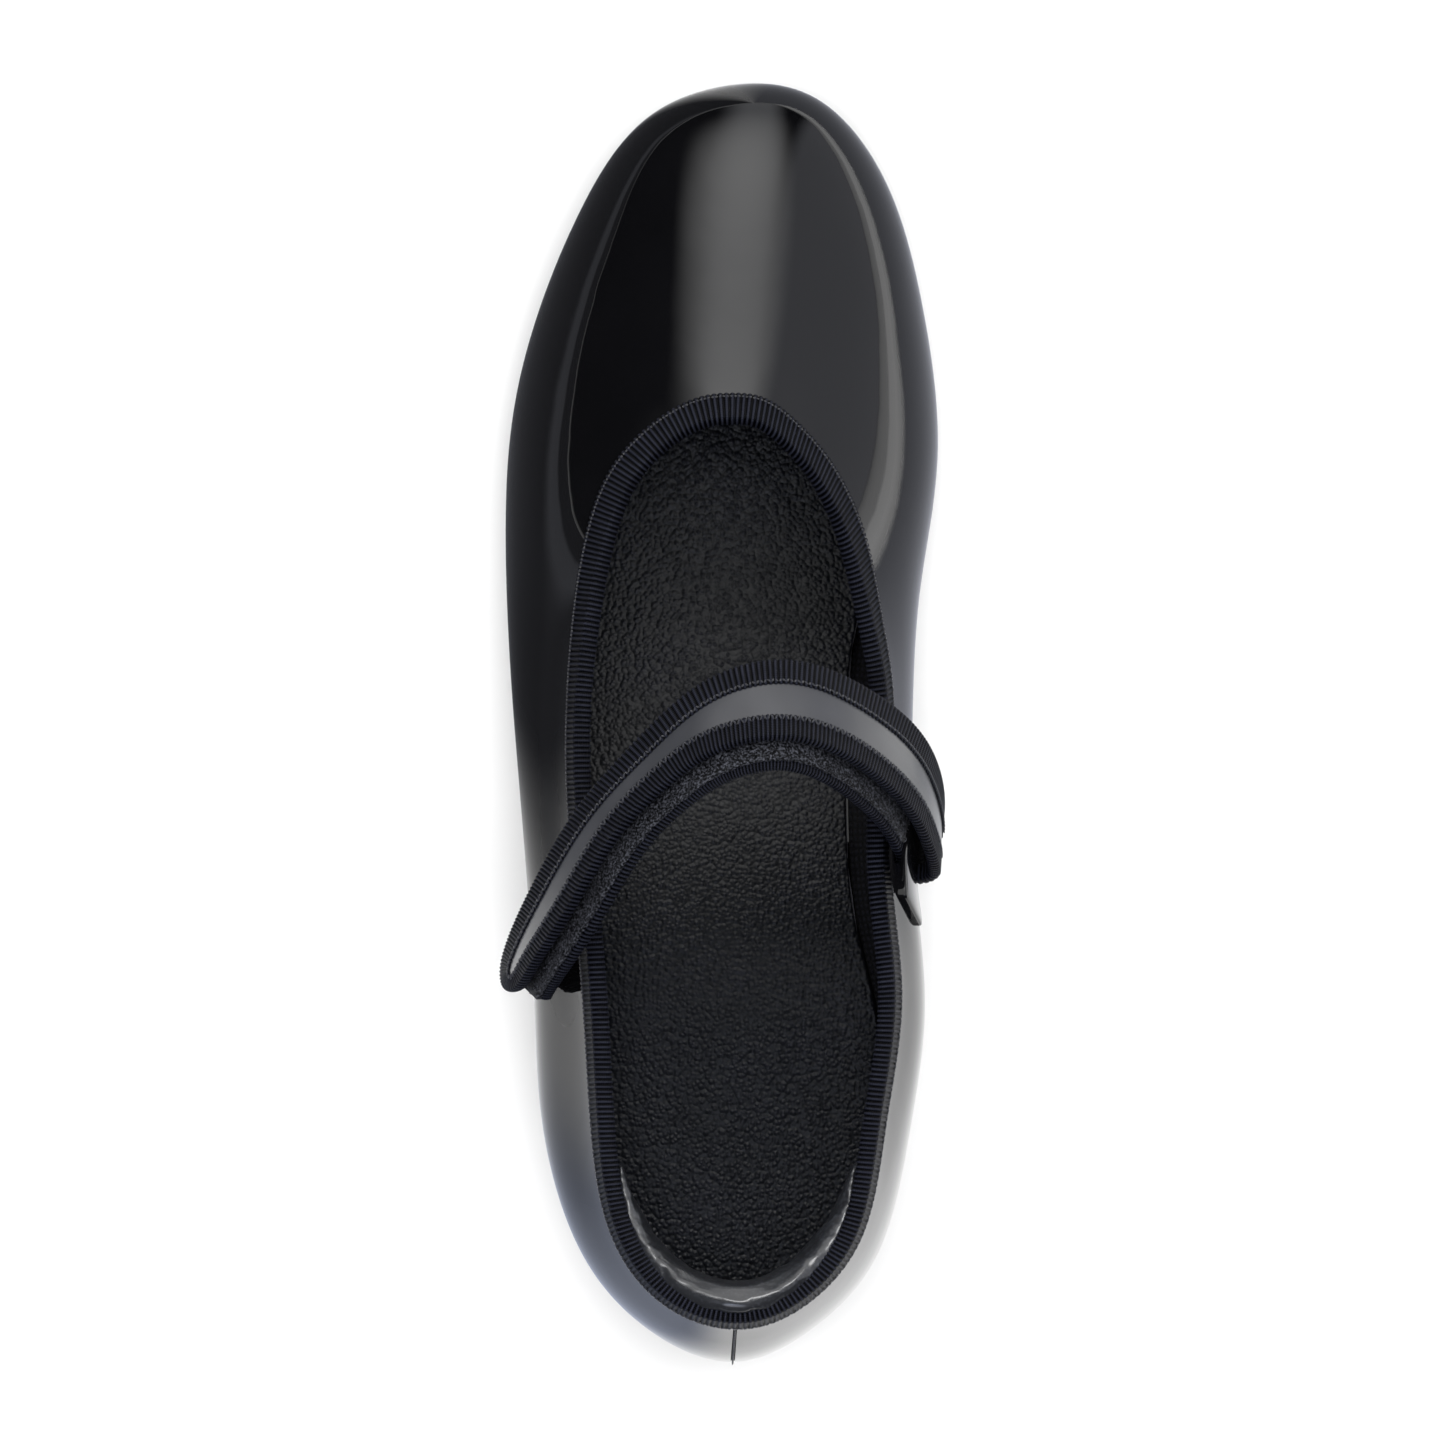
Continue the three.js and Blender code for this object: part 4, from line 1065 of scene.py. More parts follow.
# The pad's sections as (distance down from the topline, depth): its face and back at full size, and the
# slim face at its tips, each from the topline down.
PAD_FACE = np.array([[-0.75, 1.2], [-1.9, 3.4], [-1.6, 6.4], [1.4, 9.0], [7.0, 8.9], [14.0, 6.0], [22.0, 4.3],
                     [25.0, 4.1]])
PAD_SLIM = np.array([[1.5, 3.3], [1.6, 3.6], [2.0, 3.9], [4.0, 4.1], [8.0, 4.2], [14.0, 4.2], [22.0, 4.1],
                     [25.0, 4.1]])
PAD_BACK = np.array([[0.5, 1.2], [1.4, 2.2], [3.6, 3.3], [7.0, 3.95], [14.0, 3.95], [25.0, 3.95]])
PAD_BACK_SLIM = np.array([[2.0, 3.3], [2.4, 3.4], [3.6, 3.5], [7.0, 3.95], [14.0, 3.95], [25.0, 3.95]])


def pad_wall(s_steps):
    """The pad's face and back, plump at the back of the heel and slim towards its tips."""
    share = np.clip((s_steps - station(9.35)) / station(14.6 - 9.35), 0, 1)
    size = (np.sin(np.pi * share) ** 0.65)[:, None, None]
    rows = np.linspace(0, 1, 36)
    face = lerp(open_spline(PAD_SLIM)(rows), open_spline(PAD_FACE)(rows), size)
    back = lerp(open_spline(PAD_BACK_SLIM)(rows), open_spline(PAD_BACK)(rows), size)
    place = topline_frame(s_steps)
    return place(back[..., 0], back[..., 1]), place(face[..., 0], face[..., 1])


def make_collar_pad():
    s_steps = np.linspace(station(9.35), station(14.6), 150)
    outer, inner = pad_wall(s_steps)
    pad = solid_between("collar_pad_cover", outer, inner)
    pad = inflated(pad, outer)
    finish = pad.modifiers.new("soft", "SUBSURF")
    finish.levels = finish.render_levels = 1
    pad = evaluated(pad, "collar_pad_soft")
    pad.name = "collar_pad_cover"
    pad.data.polygons.foreach_set("use_smooth", [True] * len(pad.data.polygons))
    finish_piece(pad, FINISHES["pad"], "shoe", ["collar_pad"])


SIMULATION_SCALE = 10  # the solver works best on cushions of sofa size
PAD_VOXEL = 1.1
PAD_SEWN = 1.1  # mesh points nearer to the lining than this stay sewn to it
PAD_TRAVEL = 0.6  # the most that any point of the cover may move
PAD_SLACK = 0.03  # share by which the cover is cut larger than the foam
PAD_STEPS = 20


def inflated(pad, back):
    """The pad blown up as cloth: its back stays sewn to the lining and its face swells and creases."""
    scale = SIMULATION_SCALE
    pad.data.transform(Matrix.Scale(scale, 4))
    remesh = pad.modifiers.new("remesh", "REMESH")
    remesh.mode = "VOXEL"
    remesh.voxel_size = PAD_VOXEL * MM * scale
    pad = evaluated(pad, "collar_pad_voxels")
    start = np.zeros(len(pad.data.vertices) * 3)
    pad.data.vertices.foreach_get("co", start)
    start = start.reshape(-1, 3)
    tree = KDTree(len(back.reshape(-1, 3)))
    for i, point in enumerate(back.reshape(-1, 3)):
        tree.insert(point * MM * scale, i)
    tree.balance()
    near = np.array([tree.find(p)[2] for p in start]) / (MM * scale)
    sewn = pad.vertex_groups.new(name="sewn")
    sewn.add([int(i) for i in np.flatnonzero(near < PAD_SEWN)], 1.0, "REPLACE")
    cloth = pad.modifiers.new("cloth", "CLOTH")
    settings = cloth.settings
    settings.quality = 6
    settings.mass = 0.3
    settings.tension_stiffness = settings.compression_stiffness = 12
    settings.bending_stiffness = 0.3
    settings.use_pressure = True
    settings.uniform_pressure_force = 4
    settings.shrink_min = -PAD_SLACK
    settings.vertex_group_mass = "sewn"
    settings.effector_weights.gravity = 0
    cloth.collision_settings.use_collision = False
    scene = bpy.context.scene
    for frame_number in range(1, PAD_STEPS + 1):
        scene.frame_set(frame_number)
    pad = evaluated(pad, "collar_pad_blown")
    scene.frame_set(1)
    moved = np.zeros(len(start) * 3)
    pad.data.vertices.foreach_get("co", moved)
    step = moved.reshape(-1, 3) - start
    reach = np.linalg.norm(step, axis=1, keepdims=True)
    most = PAD_TRAVEL * MM * scale
    start += step * np.minimum(1, most / np.maximum(reach, 1e-9))
    pad.data.vertices.foreach_set("co", (start / scale).ravel())
    return pad


# ---- Soles, heel and taps ----

def toward_spine(outline):
    """Each point's partner on the sole's middle line, for filling a plate."""
    y = np.clip(outline[:, 1], -88, 88)
    x = 1.5 - 0.9 * smooth(y, -40, 80)
    return np.stack([x, y], -1)


def toward(x, y):
    return lambda outline: np.broadcast_to(np.array([x, y], float), outline.shape)


def outsole_inset(y):
    return feather_inset(y) - 1.8


def insole_inset(y):
    return feather_inset(y) + 3.4


BOARD_RISE = GAP + UPPER + GAP
FOAM_RISE = BOARD_RISE + INSOLE_BOARD + GAP
SOCK_RISE = FOAM_RISE + INSOLE_FOAM + GAP
HEEL_SEAT = float(sole_top(HEEL_BREAST - 10))
BLOCK_TOP = HEEL_SEAT - OUTSOLE - GAP
BLOCK_BOTTOM = TAP + GAP + TOP_PIECE + GAP


def make_outsole():
    layers = rounded(lambda extra: inset_outline(lambda y: outsole_inset(y) + extra),
                     lambda y: sole_top(y) + GAP * 0.8, lambda y: sole_top(y) - OUTSOLE, 0.9)
    made = slab("outsole_leather", layers, toward_spine)
    finish_piece(made, FINISHES["sole"], "shoe", ["outsole"])
    row = inset_outline(lambda y: outsole_inset(y) + 4.2, 700)
    keep = row[:, 1] > HEEL_BREAST + 5
    start = np.flatnonzero(keep & ~np.roll(keep, 1))[0]
    run = np.roll(row, -start, 0)[: keep.sum()]
    under = np.c_[run, sole_top(run[:, 1]) - OUTSOLE - 0.05]
    clear = under[under[:, 1] < 62]  # behind the toe tap
    half = len(clear) // 2
    for side, part in (("inner", clear[:half]), ("outer", clear[half:])):
        stitch_row(f"outsole_stitches_{side}_side", part, "shoe", pitch=3.0, radius=0.28)


def make_sock():
    def top(y):
        return sole_top(y) + SOCK_RISE + SOCK
    layers = rounded(lambda extra: inset_outline(lambda y: insole_inset(y) + extra),
                     top, lambda y: sole_top(y) + SOCK_RISE, 0.35)
    made = slab("leather_sock", layers, toward_spine)
    return finish_piece(made, FINISHES["sock"], "shoe", ["sock_liner"])


def heel_outline(inset):
    def breast(x):
        return HEEL_BREAST - 2.2 * np.cos(np.clip((x - 2) / 34, -1, 1) * math.pi / 2) + 0.4
    return cut_outline(inset, breast, -1)


def constant(value):
    return lambda y: np.full_like(y, value)


def make_heel():
    middle = toward(1.5, -88)
    layers = []
    for share in np.linspace(0, 1, 9):
        inset = 1.5 + 2.5 * share + 0.9 * math.sin(math.pi * share)
        height = lerp(BLOCK_TOP + GAP * 0.8, BLOCK_BOTTOM, share)
        layers.append((heel_outline(lambda y, inset=inset: outsole_inset(y) + inset), constant(height)))
    block = slab("heel_block_moulding", layers, middle)
    sharpen(block)
    finish_piece(block, FINISHES["plastic"], "shoe", ["heel_block"])
    layers = rounded(lambda extra: heel_outline(lambda y: outsole_inset(y) + 4 + extra),
                     constant(BLOCK_BOTTOM - GAP * 0.2), constant(TAP + GAP), 0.5)
    piece = slab("heel_top_rubber", layers, middle)
    sharpen(piece)
    finish_piece(piece, FINISHES["rubber"], "shoe", ["heel_top_piece"])


def sharpen(obj, degrees=40):
    """Keeps edges steeper than this crisp in a smooth-shaded piece."""
    obj.data.set_sharp_from_angle(angle=math.radians(degrees))


TOE_SCREWS = np.array([[3.5, 111.0], [-24.0, 77.0], [27.0, 75.0]])
HEEL_SCREWS = np.array([[2.0, -112.0], [-15.0, -84.0], [18.0, -84.0]])
SCREW_RECESS = 0.25


def under_face(y):
    return sole_top(y) - TREAD_TOP


def countersinks(places, heights):
    profile = [(0, -3), (3.35, -3), (3.35, SCREW_RECESS + 0.35), (1.6, SCREW_RECESS + 2.1), (1.6, 5), (0, 5)]
    return [lathe("countersink", profile, 40, (x, y, z)) for (x, y), z in zip(places, heights)]


def make_taps():
    def toe_rear(x):
        return -22 + np.sqrt(np.clip(90.0 ** 2 - (x - 2) ** 2, 1, None))

    def heel_front(x):
        return -38 - np.sqrt(np.clip(40.0 ** 2 - (x - 2) ** 2, 1, None))

    layers = rounded(lambda extra: cut_outline(lambda y: outsole_inset(y) + 2.2 + extra,
                                               lambda x: toe_rear(x) + extra, 1),
                     lambda y: under_face(y) + TAP + GAP * 0.8, under_face, 0.6)
    toe = slab("toe_tap_plate", layers, toward(2, 93))
    toe = cut_away(toe, countersinks(TOE_SCREWS, under_face(TOE_SCREWS[:, 1])))
    sharpen(toe)
    finish_piece(toe, FINISHES["tap"], "shoe", ["toe_tap"])
    layers = rounded(lambda extra: cut_outline(lambda y: outsole_inset(y) + 5 + extra,
                                               lambda x: heel_front(x) - extra, -1),
                     constant(TAP + GAP * 0.8), constant(0.0), 0.6)
    heel = slab("heel_tap_plate", layers, toward(2, -97))
    heel = cut_away(heel, countersinks(HEEL_SCREWS, np.zeros(3)))
    sharpen(heel)
    finish_piece(heel, FINISHES["tap"], "shoe", ["heel_tap"])


def make_screws():
    profile = [(0, 0.12), (1.2, 0.08), (2.4, 0.0), (2.95, 0.12), (3.0, 0.35), (1.3, 2.0), (1.3, 5.0), (0, 5.2)]
    template = lathe("screw_template", profile, 32)
    arms = []
    for size in ((1.75, 0.34), (0.34, 1.75)):
        x, y = size
        corners = [(a * x, b * y, c) for a in (-1, 1) for b in (-1, 1) for c in (-1, 1.0)]
        faces = [(0, 1, 3, 2), (4, 6, 7, 5), (0, 4, 5, 1), (2, 3, 7, 6), (0, 2, 6, 4), (1, 5, 7, 3)]
        arms.append(new_mesh("recess", corners, faces))
    template = cut_away(template, arms)
    sharpen(template)
    for name, places, nodes in (("toe_tap_screws", TOE_SCREWS, "toe_tap_screw_"),
                                ("heel_tap_screws", HEEL_SCREWS, "heel_tap_screw_")):
        base = under_face(places[:, 1]) if name.startswith("toe") else np.zeros(3)
        points = new_mesh(name, np.c_[places, base + SCREW_RECESS], [])
        made = grown(points, "copies", Template=template, Material=FINISHES["steel"])
        finish_piece(made, FINISHES["steel"], "shoe", [nodes + str(i) for i in (1, 2, 3)])
    bpy.data.objects.remove(template)


# ---- Straps ----

FOLD_FROM = STRAP_LENGTH - 1.0
FOLD_MIDDLE = (STRAP_LINING[1] + TAPE + UNDER_STRAP[1] + TAPE + 0.3) / 2
FOLD_RADIUS = FOLD_MIDDLE - 1.8
FOLD_LENGTH = math.pi * FOLD_RADIUS


def fold_at(length, offset, depth):
    """The strap's flat measures carried round the fold behind the loop."""
    length, offset, depth = np.broadcast_arrays(*[np.asarray(x, float) for x in (length, offset, depth)])
    start = strap_at(np.minimum(length, FOLD_FROM), offset, depth)
    turn = np.clip((length - FOLD_FROM) / FOLD_RADIUS, 0, math.pi)
    here = np.full_like(length, FOLD_FROM)
    u = strap_u(here)
    normal = strap_normal(u)
    across = unit(strap_rear(u) - strap_front(u))
    along = np.cross(normal, across)
    centre = strap_at(here, offset, np.full_like(length, FOLD_MIDDLE))
    radius = FOLD_MIDDLE - depth
    bent = centre + radius[..., None] * (normal * np.cos(turn)[..., None] + along * np.sin(turn)[..., None])
    return np.where((length > FOLD_FROM)[..., None], bent, start)


TIP_POWER = 2.3


def tip_share(length, inset=0.0):
    """Share of the full width that the rounded free end has, drawn inset from its outline."""
    share = np.clip((length - inset) / END_ROUND, 0, 1)
    return (1 - (1 - share) ** TIP_POWER) ** (1 / TIP_POWER)


def strap_layer(name, lengths, depth, half, crown=0.0, cols=12, tip=None, middle=0.0):
    """A ply of the strap between two depths, its half width a function of the length."""
    w = np.linspace(-1, 1, cols)
    width = half(lengths)
    if tip is not None:
        width = width * tip_share(lengths, tip)
    offset = middle + w[None, :] * width[:, None]
    rise = crown * (1 - w[None, :] ** 2)
    lengths = lengths[:, None]
    outer = fold_at(lengths, offset, depth[0] - rise)
    inner = fold_at(lengths, offset, np.full_like(offset, depth[1]))
    return solid_between(name, outer, inner)


def strap_outline(stop):
    """The strap's outline in flat measures from the rear edge at a length, round the tip to the front edge,
    and the distance run along it to each point."""
    straight = np.linspace(stop, END_ROUND, 900)[:-1]
    angle = np.linspace(0, math.pi, 240)
    cos, sin = np.cos(angle), np.sin(angle)
    share = np.sign(cos) * np.abs(cos) ** (2 / TIP_POWER)
    tip = END_ROUND * (1 - np.abs(sin) ** (2 / TIP_POWER))
    edge = strap_half(straight) - FOLD_BULGE
    nose = strap_half(tip) - FOLD_BULGE
    length = np.concatenate([straight, tip, straight[::-1]])
    pull = (REAR_PULL * (1 + share) + FRONT_PUSH * (1 - share)) / 2
    offset = np.concatenate([edge - REAR_PULL, nose * share - pull, -edge[::-1] - FRONT_PUSH])
    flat = np.stack([length, offset], -1)
    flat[:, 0] += FOLD_BULGE
    travel = np.concatenate([[0], np.cumsum(np.linalg.norm(np.diff(flat, axis=0), axis=1))])
    keep = np.concatenate([[True], np.diff(travel) > 1e-6])
    return flat[keep], travel[keep]


def taped_edge(flat, travel, spacing):
    """Rows at even distances along a flat outline, with their inward directions."""
    count = int(round(travel[-1] / spacing))
    at = np.linspace(0, travel[-1], count + 1)
    points = np.stack([np.interp(at, travel, flat[:, k]) for k in (0, 1)], -1)
    ahead = np.stack([np.interp(np.clip(at + 0.3, 0, travel[-1]), travel, flat[:, k]) for k in (0, 1)], -1)
    behind = np.stack([np.interp(np.clip(at - 0.3, 0, travel[-1]), travel, flat[:, k]) for k in (0, 1)], -1)
    tangent = unit(ahead - behind)
    inward = np.stack([-tangent[:, 1], tangent[:, 0]], -1)
    return points, inward, at


def tape_on_flat(points, inward, rear_narrow=0.0):
    """A tape frame on a flat outline; on the rear edge the tape is narrower by a share."""
    narrow = 1 - rear_narrow * smooth(points[:, 1], -4, 4)[:, None]

    def place(distance, depth):
        distance = np.asarray(distance) * np.where(np.asarray(distance) > 0, narrow, 1)
        flat = points[:, None, :] + inward[:, None, :] * distance[..., None]
        return fold_at(flat[..., 0], flat[..., 1], np.asarray(depth))
    return place


def bend_at_end(obj):
    """Bakes the piece's placement into its mesh; the free end is not bent."""
    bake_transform(obj)


def bend_at_fold(obj):
    """Bakes the piece's placement into its mesh; the fold is not opened, and the two points it works out near the
    fold are not used.
    """
    here = np.array([FOLD_FROM + 0.4])
    inner = fold_at(here, np.zeros(1), np.full(1, FOLD_MIDDLE + 2.6))[0]
    outer = fold_at(np.array([FOLD_FROM]), np.zeros(1), np.full(1, 0.6))[0]
    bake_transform(obj)


STRAP_BINDING = 5.0
REAR_PULL = 2.0  # the strap's rear edge lies this much further in, since its thick fold shows beyond its face
FRONT_PUSH = 0.7  # and its front edge this much further out
REAR_NARROW = 0.14  # share by which the rear tape is narrower than the front tape
STRAP_PLIES = (TAPE + CLEAR, STRAP_LINING[1] - 0.8)  # depths between which the tapes hold the plies
BAND_PLY = (TAPE + CLEAR, 1.15)  # depths of the film band's face and back
BACKING_PLY = (1.2, STRAP_PLIES[1])
BAND_MIDDLE = -(REAR_PULL + FRONT_PUSH) / 2
BAND_TIP = 1.6  # how far the plies stop short of the rounded end


def band_half(length):
    """Half the width of the film band, whose edges lie under the tapes."""
    return strap_half(length) - 1.1 - (REAR_PULL - FRONT_PUSH) / 2


def make_strap():
    lengths = ordered((2.2, END_ROUND + 2, 24), (END_ROUND + 2, FOLD_FROM, 170))
    patent = strap_layer("strap_patent_band", lengths, BAND_PLY, band_half, crown=0.35, cols=26, tip=BAND_TIP,
                         middle=BAND_MIDDLE)
    finish_piece(patent, FINISHES["film"], None, ["strap_patent", "strap_end_patent"])
    lining = strap_layer("strap_backing", lengths, BACKING_PLY, band_half, cols=16, tip=BAND_TIP,
                         middle=BAND_MIDDLE)
    finish_piece(lining, FINISHES["knit"], None, ["strap_lining", "strap_end_lining"])
    flat, travel = strap_outline(FOLD_FROM - FOLD_BULGE)
    points, inward, at = taped_edge(flat, travel, RIB_PITCH / RIB_STEPS)
    section = tape_section(STRAP_BINDING, BINDING_BACK_LEG, *STRAP_PLIES)
    tape = rib_tape("strap_tape", tape_on_flat(points, inward, REAR_NARROW), at, section, False)
    nodes = ["strap_front_binding", "strap_rear_binding", "strap_end_binding"]
    finish_piece(tape, FINISHES["grosgrain"], None, nodes)
    frame_of = tape_on_flat(points[::4], inward[::4], REAR_NARROW)
    row = frame_of(np.array([[STRAP_BINDING - ZIGZAG_IN]]), np.array([[0.0]]))[:, 0]
    stitches = zigzag_row("strap_stitches", row, None)
    for obj in (patent, lining, tape, stitches):
        bend_at_end(obj)


def make_fold():
    lengths = np.linspace(FOLD_FROM, FOLD_FROM + FOLD_LENGTH, 30)
    patent = strap_layer("fold_patent", lengths, BAND_PLY, band_half, crown=0.3, cols=26, middle=BAND_MIDDLE)
    finish_piece(patent, FINISHES["film"], None)
    lining = strap_layer("fold_backing", lengths, BACKING_PLY, band_half, cols=16, middle=BAND_MIDDLE)
    finish_piece(lining, FINISHES["knit"], None)
    pieces = [patent, lining]
    section = tape_section(STRAP_BINDING, BINDING_BACK_LEG, *STRAP_PLIES)
    for name, side in (("fold_front_tape", -1), ("fold_rear_tape", 1)):
        run = np.linspace(FOLD_FROM, FOLD_FROM + FOLD_LENGTH, int(FOLD_LENGTH * RIB_STEPS) + 1)
        pull = REAR_PULL if side > 0 else -FRONT_PUSH
        flat = np.stack([run, side * (strap_half(run) - FOLD_BULGE - pull)], -1)
        inward = np.stack([np.zeros_like(run), np.full_like(run, -side)], -1)
        tape = rib_tape(name, tape_on_flat(flat, inward, REAR_NARROW), run - run[0], section, False)
        finish_piece(tape, FINISHES["grosgrain"], None)
        pieces.append(tape)
    for obj in pieces:
        bend_at_fold(obj)


def make_hook_pad():
    lengths = np.linspace(8, 31, 50)

    def half(length):
        return 0.44 * strap_half(length)
    pad = strap_layer("hook_tape", lengths, (STRAP_PLIES[1] + 0.05, HOOK_PAD[1] - 0.2), half, cols=16)
    finish_piece(pad, FINISHES["hooks"], "strap_end", ["hook_pad"])
    base = strap_layer("hooks", lengths, (HOOK_PAD[1] - 0.2, HOOK_PAD[1] - 0.1), half, cols=16)
    made = grown(base, "loops", Density=chosen().pile_density, Loop_radius=0.22 * MM, Fibre=0.05 * MM,
                 Lean=0.3, Material=FINISHES["hooks"])
    finish_piece(made, FINISHES["hooks"], "strap_end")


def under_half(length):
    return strap_half(length) * 1.07


def under_middle(length):
    return strap_half(length) * 0.13


PILE_SHIFT = 0.5


def pile_half(length):
    return strap_half(length) * 0.97 + 0.5


def make_under_strap():
    lengths = np.linspace(1.0, FOLD_FROM, 190)
    w = np.linspace(-1, 1, 18)

    def ply(name, run, depth):
        offset = under_middle(run)[:, None] + w[None, :] * under_half(run)[:, None]
        outer = strap_at(run[:, None], offset, np.full_like(offset, depth[0]))
        inner = strap_at(run[:, None], offset, np.full_like(offset, depth[1]))
        return solid_between(name, outer, inner)
    band = ply("under_strap_band", lengths, UNDER_STRAP)
    finish_piece(band, FINISHES["knit"], "shoe", ["under_strap"])
    stop = STRAP_LENGTH - LOOP_PLACE - LOOP_TALL / 2 - 1
    run = lengths[lengths < stop]
    pile = strap_layer("pile_tape", run, (PILE_TAPE[0] - 0.05, UNDER_STRAP[0] - 0.02), pile_half, cols=18,
                       middle=PILE_SHIFT)
    finish_piece(pile, FINISHES["pile"], "shoe", ["loop_pile_tape"])
    carpet = strap_layer("pile_loops", run, (PILE_TAPE[0] - 0.05, PILE_TAPE[0] + 0.3), pile_half, cols=18,
                         middle=PILE_SHIFT)
    made = grown(carpet, "loops", Density=chosen().pile_density, Loop_radius=0.45 * MM, Fibre=0.07 * MM,
                 Lean=0.9, Material=FINISHES["pile"])
    finish_piece(made, FINISHES["pile"], "shoe")
    section = tape_section(1.5, 3.0, *UNDER_STRAP)
    rows = np.arange(1.0, FOLD_FROM, 1 / RIB_STEPS)
    flat = np.stack([rows, under_middle(rows) + under_half(rows) - 0.4], -1)
    inward = np.stack([np.zeros_like(rows), -np.ones_like(rows)], -1)
    tape = rib_tape("under_strap_tape", tape_on_flat(flat, inward), rows - rows[0], section, False)
    finish_piece(tape, FINISHES["grosgrain"], "shoe", ["under_strap_binding"])


def make_strap_loop():
    """The patent loop: a flat ring round the under-strap, its plies joined in a tail at the rear."""
    place = STRAP_LENGTH - LOOP_PLACE
    middle = (UNDER_STRAP[0] + UNDER_STRAP[1]) / 2
    half = float(strap_half(np.array([place]))[0])
    slot = (UNDER_STRAP[1] - UNDER_STRAP[0]) / 2 + LOOP_CLEARANCE
    angle = np.linspace(0, 2 * math.pi, 160, endpoint=False)
    cos = np.sign(np.cos(angle)) * np.abs(np.cos(angle)) ** 0.55
    sin = np.sign(np.sin(angle)) * np.abs(np.sin(angle)) ** 0.4

    def ring(front, rear, thick, length):
        a = np.where(np.cos(angle) > 0, rear, front) * cos
        bend = LOOP_TAIL_BEND * np.clip((a - half) / LOOP_TAIL, 0, None) ** 1.5
        return strap_at(np.full_like(a, length), a, middle - bend - thick * sin)
    round_edge = [(-0.5, 0.5), (-0.48, 0.15), (-0.43, 0.0), (0.43, 0.0), (0.48, 0.15), (0.5, 0.5)]
    outer, inner = [], []
    for share, drop in round_edge:
        length = place + share * LOOP_TALL
        thin = drop * LOOP_PLY * 0.8
        outer.append(ring(half + 2.4 - thin, half + LOOP_TAIL - thin, slot + LOOP_PLY - thin, length))
        inner.append(ring(half + 1.4, half + 5, slot, length))
    made = solid_between("patent_strap_loop", np.stack(outer, 1), np.stack(inner, 1), ring=True)
    finish_piece(made, FINISHES["patent"], "shoe", ["strap_loop"])


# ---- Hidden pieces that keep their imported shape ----

KEPT = {
    "toe_puff": "stiffener", "heel_counter": "stiffener", "insole_board": "board", "insole_foam": "foam",
    "bottom_filler": "foam", "shank": "steel", "heel_nail_1": "steel", "heel_nail_2": "steel",
    "heel_nail_3": "steel",
}


def dress_kept_nodes():
    for name, finish in KEPT.items():
        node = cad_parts[name]
        node.data.materials.clear()
        node.data.materials.append(FINISHES[finish])


# ---- Stage, light and camera ----

def make_stage(look):
    size = look.floor_size
    points = [(-size / MM, -size / MM, 0), (size / MM, -size / MM, 0), (size / MM, size / MM, 0),
              (-size / MM, size / MM, 0)]
    floor = new_mesh("floor", np.array(points) + (0, 0, -0.05), [(0, 1, 2, 3)])
    # Uncoated paper: white and without any gloss, a little uneven.
    paper, tree, shader = surface("matt white paper", {"Roughness": 0.9})
    place = add_node(tree, COORDINATES).outputs["Object"]
    tone = add_node(tree, NOISE, inputs={"Vector": place, "Scale": TO_METRES / 40.0, "Detail": 2.0})
    colour = add_node(tree, MIX, IN_COLOUR, {"Factor": tone, "A": look.floor_dark, "B": look.floor_light})
    plug(tree, shader, {"Base Color": colour})
    floor.data.materials.append(paper)
    for name, at, aim, wide, tall, power in LIGHTS:
        lamp = bpy.data.lights.new(name, "AREA")
        lamp.shape = "RECTANGLE"
        lamp.size, lamp.size_y, lamp.energy = wide, tall, power
        holder = bpy.data.objects.new(name, lamp)
        place_facing(holder, at, aim)
        holder.visible_glossy = False
    for card in CARDS:
        reflector_card(*card)
    world = bpy.data.worlds.new("studio")
    world.use_nodes = True
    world.node_tree.nodes["Background"].inputs["Color"].default_value = look.room
    bpy.context.scene.world = world
    bpy.context.scene.view_settings.view_transform = "Standard"
    data = bpy.data.cameras.new("overhead camera")
    data.type = "ORTHO"
    data.ortho_scale = look.view_width
    camera = bpy.data.objects.new("overhead camera", data)
    camera.location = (0, 0, 2.0)
    bpy.context.scene.collection.objects.link(camera)
    bpy.context.scene.camera = camera


def place_facing(obj, at, aim):
    obj.location = at
    obj.rotation_euler = (Vector(aim) - Vector(at)).to_track_quat("-Z", "Y").to_euler()
    bpy.context.scene.collection.objects.link(obj)


